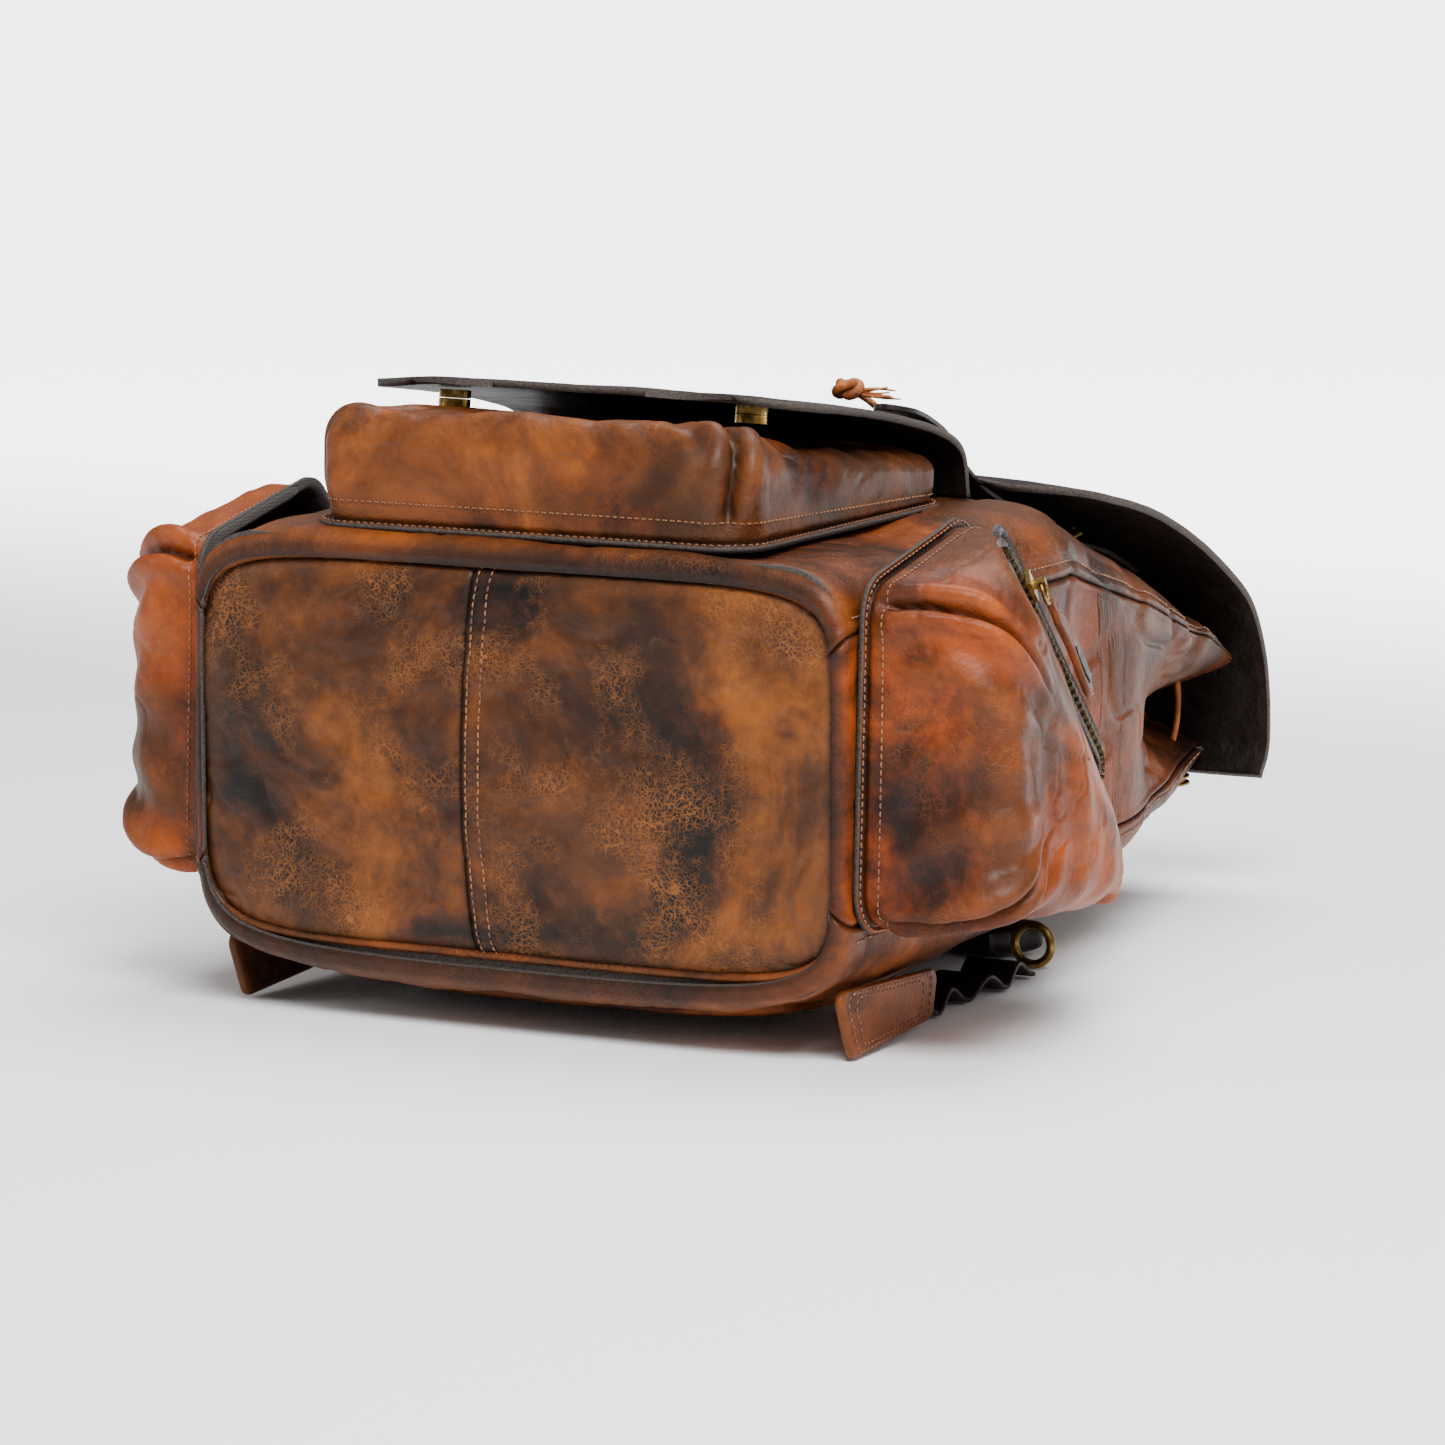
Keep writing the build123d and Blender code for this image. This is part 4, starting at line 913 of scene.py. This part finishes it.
def hungSheet(name, look, body, node, material, seed):
    # a thick leather sheet: its long section follows a smooth path, its width narrows as a circle at the free
    # corners, its side edges droop as v^4, and slow waves run through it
    path = smoothPath(np.array(look["path"]) * mm, look["rows"], 1.5)
    run = lengthAlong(path)
    toEnd = run[-1] - run
    corner = look["corner"]
    cut = np.maximum(corner - toEnd, 0)
    half = look["width"] / 2 - corner + np.sqrt(np.maximum(corner ** 2 - cut ** 2, 0))
    v = np.sin(np.linspace(-1, 1, look["cols"]) * np.pi / 2 * 0.9) / math.sin(np.pi / 2 * 0.9)
    x = half[:, None] * v[None]
    p = np.stack([x, np.broadcast_to(path[:, :1], x.shape), np.broadcast_to(path[:, 1:], x.shape)], -1)
    ahead = unit(np.gradient(path, axis=0))
    n = np.stack([np.zeros(len(path)), ahead[:, 1], -ahead[:, 0]], -1)[:, None]
    free = ease(run, 0.01, 0.08)[:, None]
    slow = noise(p * np.array([1, 0.45, 0.45]), 0.06, seed, 2)
    fine = noise(p, 0.018, seed + 2, 2)
    edge = np.minimum(toEnd[:, None], half[:, None] - np.abs(x))
    move = look["wave"] * slow * free - look["droop"] * free * np.abs(v[None]) ** 4 + 0.0002 * fine
    p = p + n * move[..., None]
    wear = np.clip(0.22 + 0.5 * slow + 0.6 * bell(edge - 0.002, 0.003), 0, 1)
    # a dark line 6.5 mm in from the edge, through the same painted shade channel
    paintedShade = 0.45 * bell(edge - 0.0065, 0.0011)
    obj = surface(name, p, away=(0, -0.03, 0.12), attributes={"wear": wear, "paintedShade": paintedShade}, material=material,
                  thickness=look["thickness"], inner=innerMat)
    place(obj, body, [node], "dark_leather")


def strap(name, path, halfWidth, thickness, material, body, nodes=(), across=(1, 0, 0), slot="dark_leather",
          section=7, seed=1):
    # a flat strap: a superellipse section carried along a path, closed at its ends; worn along its edges
    p = np.asarray(path, float)
    ahead = unit(np.gradient(p, axis=0))
    wide = np.broadcast_to(np.asarray(across, float), p.shape)
    side = unit(wide - ahead * (wide * ahead).sum(1, keepdims=True))
    up = np.cross(side, ahead)
    a, b = squircle(np.linspace(0, 2 * np.pi, 40, endpoint=False), 1, 1, section)
    half = np.broadcast_to(np.asarray(halfWidth, float), (len(p),))
    thick = np.broadcast_to(np.asarray(thickness, float), (len(p),)) / 2
    ring = (p[None] + (a[:, None] * half[None])[..., None] * side[None]
            + (b[:, None] * thick[None])[..., None] * up[None])
    centre = np.broadcast_to(p[None], ring.shape)
    ring = np.concatenate([centre[:, :1], 0.4 * centre[:, :1] + 0.6 * ring[:, :1], ring,
                           0.4 * centre[:, -1:] + 0.6 * ring[:, -1:], centre[:, -1:]], axis=1)
    rough = noise(ring, 0.02, seed, 2)
    wear = np.clip(0.2 + 0.4 * rough + 0.5 * (np.abs(a)[:, None] > 0.93), 0, 1)
    obj = surface(name, ring, closedU=True, attributes={"wear": wear, "paintedShade": 0.0}, material=material,
                  poles=True)
    if body:
        place(obj, body, nodes, slot)
    return obj


closure = dict(x=0.088, y=0.062, z=0.18637, slope=math.radians(-19.72), halfWidth=0.010, thickness=0.003)


def closurePoint(side, u, w, v=0.0):
    # u runs up the bag from the snap, w off the front panel, both in millimetres
    c, s = math.cos(closure["slope"]), math.sin(closure["slope"])
    return np.array([side * closure["x"] + v * mm, closure["y"] + (u * c - w * s) * mm,
                     closure["z"] + (u * s + w * c) * mm])


def makeClosures():
    # the strap leaves the lid's underside, lies flat under the buckle, and runs over the pocket flap to a tip
    startPath = ((188, 158.5), (150, 172.5))
    tipPath = ((40, 207), (20, 215.2), (7, 222.8), (-6, 231.5), (-18.0, 243), (-33, 250.5), (-46.5, 255.3),
               (-63, 259.2))
    for name, sign in (("right", 1), ("left", -1)):
        x = sign * closure["x"]
        points = ([(x, y * mm, z * mm) for y, z in startPath]
                  + [closurePoint(sign, u, 11.6) for u in (49, 22, 0)]
                  + [(x, y * mm, z * mm) for y, z in tipPath])
        path = smoothPath(points, 170)
        run = lengthAlong(path)
        left = np.clip((run[-1] - run) / 0.016, 0, 1)
        half = closure["halfWidth"] * np.sqrt(np.clip(1 - (1 - left) ** 2.2, 0.02, 1))
        obj = strap("closureStrap_" + name, path, half, closure["thickness"], leathers["dark"], None,
                    seed=40 + sign)
        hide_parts("closure_strap_" + name, "strap_tip_" + name)
        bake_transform(obj)
        chapePath = ((-12, 8.6), (0, 8.6), (15, 8.6), (27.3, 8.4), (30.5, 9.6), (31.2, 11.0))
        chapePoints = smoothPath([closurePoint(sign, u, w) for u, w in chapePath], 50)
        chape = strap("strapChape_" + name, chapePoints, 0.0095, 0.0020, leathers["lid"], None)
        place(chape, "lid", [] if sign < 0 else ["strap_chapes"], "dark_leather")
        turn = np.linspace(0, 2 * np.pi, 60)
        a, b = squircle(turn, 11.6, 4.4, 5)
        loop = np.array([closurePoint(sign, 17, 10.1 + w, v) for v, w in zip(a, b)])
        c, s = math.cos(closure["slope"]), math.sin(closure["slope"])
        keeper = strap("strapKeeper_" + name, loop, 0.0045, 0.0020, leathers["lid"], None, across=(0, c, s))
        place(keeper, "lid", [] if sign < 0 else ["strap_keepers"], "dark_leather")
    print("closure straps made")


def roundedBox(name, low, high, power, material, seed=3, rumple=0.0006):
    # a superellipsoid that fills a box: each coordinate is a sine or cosine raised to 2 / power
    low, high = np.array(low), np.array(high)
    centre, half = (low + high) / 2, (high - low) / 2
    u, v = np.meshgrid(np.linspace(0, 2 * np.pi, 160, endpoint=False), np.linspace(-np.pi / 2, np.pi / 2, 80),
                       indexing="ij")
    waves = (np.cos(u), np.sin(u), np.cos(v), np.sin(v))
    cu, su, cv, sv = (np.sign(w) * np.abs(w) ** (2 / power) for w in waves)
    p = centre + half * np.stack([cv * cu, cv * su, sv], -1)
    p = centre + (p - centre) * (1 + rumple / half.max() * noise(p, 0.03, seed))[..., None]
    wear = np.clip(0.25 + 0.5 * noise(p, 0.05, seed + 1), 0, 1)
    return surface(name, p, closedU=True, attributes={"wear": wear, "paintedShade": 0.0}, material=material,
                   poles=True)


padLook = dict(voxel=0.005, shrink=0.0015, pressure=4.0, frames=20, cap=0.005, floor=0.0010, ceiling=0.0205,
               fill=0.7)


def cushionFrom(node, name, material):
    # the solid's skin, remeshed and blown up as cloth at a fixed pressure; no point moves past the cap
    shell = bmesh.new()
    shell.from_mesh(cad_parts[node].data)
    bmesh.ops.remove_doubles(shell, verts=shell.verts, dist=1e-5)
    mesh = bpy.data.meshes.new(name)
    shell.to_mesh(mesh)
    shell.free()
    obj = bpy.data.objects.new(name, mesh)
    scene = bpy.context.scene
    scene.collection.objects.link(obj)
    remesh = obj.modifiers.new("even", "REMESH")
    remesh.mode, remesh.voxel_size = "VOXEL", padLook["voxel"]
    obj.data = bpy.data.meshes.new_from_object(obj.evaluated_get(bpy.context.evaluated_depsgraph_get()))
    obj.modifiers.clear()
    count = len(obj.data.vertices)
    rest = np.empty(count * 3, np.float32)
    obj.data.vertices.foreach_get("co", rest)
    rest = rest.reshape(-1, 3).astype(float)
    normal = np.empty(count * 3, np.float32)
    obj.data.vertices.foreach_get("normal", normal)
    start = rest - normal.reshape(-1, 3) * padLook["shrink"]
    obj.data.vertices.foreach_set("co", start.reshape(-1))
    grown = start
    cloth = obj.modifiers.new("cloth", "CLOTH")
    cloth.settings.use_pressure = True
    cloth.settings.uniform_pressure_force = padLook["pressure"]
    cloth.settings.effector_weights.gravity = 0
    for number in range(1, padLook["frames"] + 1):
        scene.frame_set(number)
    result = obj.evaluated_get(bpy.context.evaluated_depsgraph_get()).to_mesh()
    grown = np.empty(count * 3, np.float32)
    result.vertices.foreach_get("co", grown)
    grown = grown.reshape(-1, 3).astype(float)
    obj.modifiers.clear()
    scene.frame_set(1)
    move = grown - start
    size = np.linalg.norm(move, axis=1, keepdims=True)
    p = start + move * np.minimum(1, padLook["cap"] / np.maximum(size, 1e-9))
    p[:, 2] = np.clip(p[:, 2], padLook["floor"], padLook["ceiling"])
    obj.data.vertices.foreach_set("co", p.reshape(-1))
    for key, values in (("wear", np.clip(0.25 + 0.5 * noise(p, 0.03, 5), 0, 1)), ("paintedShade", np.zeros(count))):
        layer = obj.data.attributes.new(key, "FLOAT", "POINT")
        layer.data.foreach_set("value", values.astype(np.float32))
    obj.data.polygons.foreach_set("use_smooth", np.ones(len(obj.data.polygons), bool))
    obj.data.materials.clear()
    obj.data.materials.append(material)
    smooth = obj.modifiers.new("smooth", "SUBSURF")
    smooth.levels = smooth.render_levels = 1
    return obj


tabLook = dict(x=0.149, corners=((-0.230, 0.032), (-0.216, 0.0012), (-0.139, 0.006), (-0.134, 0.027)),
               corner=0.005, thickness=0.004, rows=(0.86, 0.70), stitchLift=0.0021)
yokeLook = dict(low=(-0.075, 0.140, 0.0006), high=(0.075, 0.172, 0.0465), power=9)
backPadLook = dict(low=(-0.120, -0.202, 0.0205), high=(0.120, 0.098, 0.0275), power=7, fill=0.4)
lowerStrapLook = dict(x=0.127, start=-0.138, end=-0.010, z=0.0058, bunch=0.0036, bunchPitch=0.034,
                      halfWidth=0.0130, thickness=0.0024)


def makeHarness():
    for side, sign in (("right", 1), ("left", -1)):
        pad = cushionFrom("shoulder_strap_" + side, "shoulderPad_" + side, leathers["dark"])
        place(pad, "shoulder_strap_" + side, ["shoulder_strap_" + side], "dark_leather")
        points = roundedPolygon(tabLook["corners"], tabLook["corner"], 160)[0]
        outline = np.stack([np.full(len(points), sign * tabLook["x"]), *points.T], -1)
        tab = plate("anchorTab_" + side, outline, (sign, 0, 0), tabLook["thickness"], leathers["body"])
        place(tab, "body", ["anchor_tab_" + side], "tan_leather")
        middle, out = outline.mean(0), np.array([sign, 0, 0])
        runs = [(middle + (outline - middle) * share + out * tabLook["stitchLift"], out)
                for share in tabLook["rows"]]
        stitches("anchorTabStitches_" + side, runs, "body", threadMat)
        k = lowerStrapLook
        y = np.linspace(k["start"], k["end"], 120)
        wave = np.sin((y - k["start"]) * 2 * np.pi / k["bunchPitch"]) * ease(y, k["start"], -0.12)
        path = np.stack([sign * (k["x"] + 0.0015 * np.sin(y * 90)), y, k["z"] + k["bunch"] * wave], -1)
        strap("lowerStrap_" + side, path, k["halfWidth"], k["thickness"], leathers["dark"],
              "lower_strap_" + side, ["lower_strap_" + side], seed=61)
    yoke = roundedBox("strapYokeLeather", *yokeLook.values(), leathers["dark"])
    place(yoke, "body", ["strap_yoke"], "dark_leather")
    k = backPadLook
    pad = roundedBox("backPadLeather", k["low"], k["high"], k["power"], leathers["body"])
    p = np.empty(len(pad.data.vertices) * 3, np.float32)
    pad.data.vertices.foreach_get("co", p)
    p = p.reshape(-1, 3)
    p[:, 2] -= backSag(p[:, 0], p[:, 1])
    pad.data.vertices.foreach_set("co", p.reshape(-1))
    place(pad, "body", ["back_pad"], "tan_leather")
    print("harness made")


def splinePoints(route):
    # points read from the route's own NURBS spline
    curve = bpy.data.curves.new("route", "CURVE")
    curve.dimensions, curve.resolution_u = "3D", 24
    spline = curve.splines.new("NURBS")
    spline.points.add(len(route) - 1)
    for point, at in zip(spline.points, route):
        point.co = (*(v * mm for v in at), 1)
    spline.order_u = 3
    spline.use_endpoint_u = True
    holder = bpy.data.objects.new("route", curve)
    mesh = bpy.data.meshes.new_from_object(holder)
    points = np.array([v.co[:] for v in mesh.vertices])
    bpy.data.objects.remove(holder)
    bpy.data.meshes.remove(mesh)
    return points


# millimetres: the lace from the bead down the front, then over the pocket flap to the knot
laceTail = [(65, 203.8, 135.8), (61, 160, 157.5), (56, 118, 172.5), (53, 78, 187), (56, 44, 199.5),
            (61, 20, 211), (64, 1, 221.5), (65, -7, 231.0), (66, -14.5, 246), (67, -32, 258),
            (67, -50, 263.5)]
laceLoop = [(72, 208, 137.3), (110, 208, 137.3), (110, 208, 52.9), (40, 208, 52.9), (40, 208, 63.4),
            (-40, 208, 63.4), (-40, 208, 52.9), (-110, 208, 52.9), (-110, 208, 137.3), (-40, 208, 137.3),
            (-40, 208, 128.2), (40, 208, 128.2), (40, 208, 137.3), (58, 208, 137.3)]
handleRoute = [(-45, 220, 50.7), (-45, 220, 30), (-45, 220, 10.7), (-20, 220, 10.7), (20, 220, 10.7),
               (45, 220, 10.7), (45, 220, 30), (45, 220, 50.7)]
lace = dict(radius=0.0016, length=0.289, loopRadius=0.0015, handleRadius=0.0045, knotAhead=0.0066,
            knotRadius=0.0024, knotScale=0.00178, frays=9, fray=(0.0125, 0.0085, -0.0015),
            frayRoot=(0.005, 0.001, -0.001))


def cordTube(name, route, radius, material):
    points, _ = resample(splinePoints(route), 0.0012)
    obj = tubeAlong(name, points, radius, material)
    for key in ("wear", "paintedShade"):
        obj.data.attributes.new(key, "FLOAT", "POINT")
    return obj, points


def makeCords():
    # the knot is a trefoil, (2 + cos 3t) round the axis and 1.3 sin 3t along it, with frayed ends beside it
    k = lace
    tail, points = cordTube("drawstringTailLace", laceTail, k["radius"], laceMat)
    centre = points[-1] + unit(points[-1] - points[-4]) * k["knotAhead"]
    t = np.linspace(0, 2 * np.pi, 200)
    far = 2 + np.cos(3 * t)
    loops = np.stack([np.cos(2 * t) * far, np.sin(2 * t) * far, 1.3 * np.sin(3 * t)], -1)
    knot = tubeAlong("drawstringKnotLace", centre + loops * k["knotScale"], k["knotRadius"], laceMat)
    place(knot, "pocket_flap", ["drawstring_knot"], "lace_leather")
    for number in range(k["frays"]):
        rng = np.random.default_rng(80 + number)
        start = centre + np.array(k["frayRoot"]) + rng.uniform(-0.0012, 0.0012, 3)
        end = start + np.array(k["fray"]) * rng.uniform(0.7, 1.1) + rng.uniform(-0.0028, 0.0028, 3)
        bend = (start + end) / 2 + rng.uniform(-0.0012, 0.0012, 3)
        path = smoothPath([start, bend, end], 14)
        fray = tubeAlong(f"laceFray_{number}", path, np.linspace(0.0009, 0.00035, 14), laceMat, 6)
        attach(fray, "pocket_flap")
    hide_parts("drawstring_tail", "drawstring_tail_end")
    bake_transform(tail)
    loop, _ = cordTube("drawstringLoopLace", laceLoop, k["loopRadius"], laceMat)
    place(loop, "body", ["drawstring"], "lace_leather")
    handle, _ = cordTube("carryHandleLeather", handleRoute, k["handleRadius"], leathers["dark"])
    place(handle, "carry_handle", ["carry_handle"], "dark_leather")
    print("cords made")


makeBody()
makeBase()
makeFrontPocket()
makeSidePockets()
hungSheet("pocketFlapLeather", flapSheet, "pocket_flap", "pocket_flap", leathers["dark"], 51)
hungSheet("lidLeather", lidSheet, "lid", "lid", leathers["lid"], 53)
makeClosures()
makeHarness()
makeCords()
floor = np.stack(np.meshgrid((-30.0, 30.0), (-6.0, 60.0), [0.0], indexing="ij"), -1)[:, :, 0]
surface("floor", floor, away=(0, 0, -1), material=paleFloor())
nodeLooks = {"base_board": edgeMat, "drawstring_bead": leathers["side"], "handle_feet": leathers["dark"]}
for name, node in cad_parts.items():
    if name.startswith(("buckle", "strap_ring", "zip_slider", "zip_ring", "eyelets")) or "snap" in name:
        nodeLooks[name] = brassMat
    if name in nodeLooks:
        node.data.materials.clear()
        node.data.materials.append(nodeLooks[name])
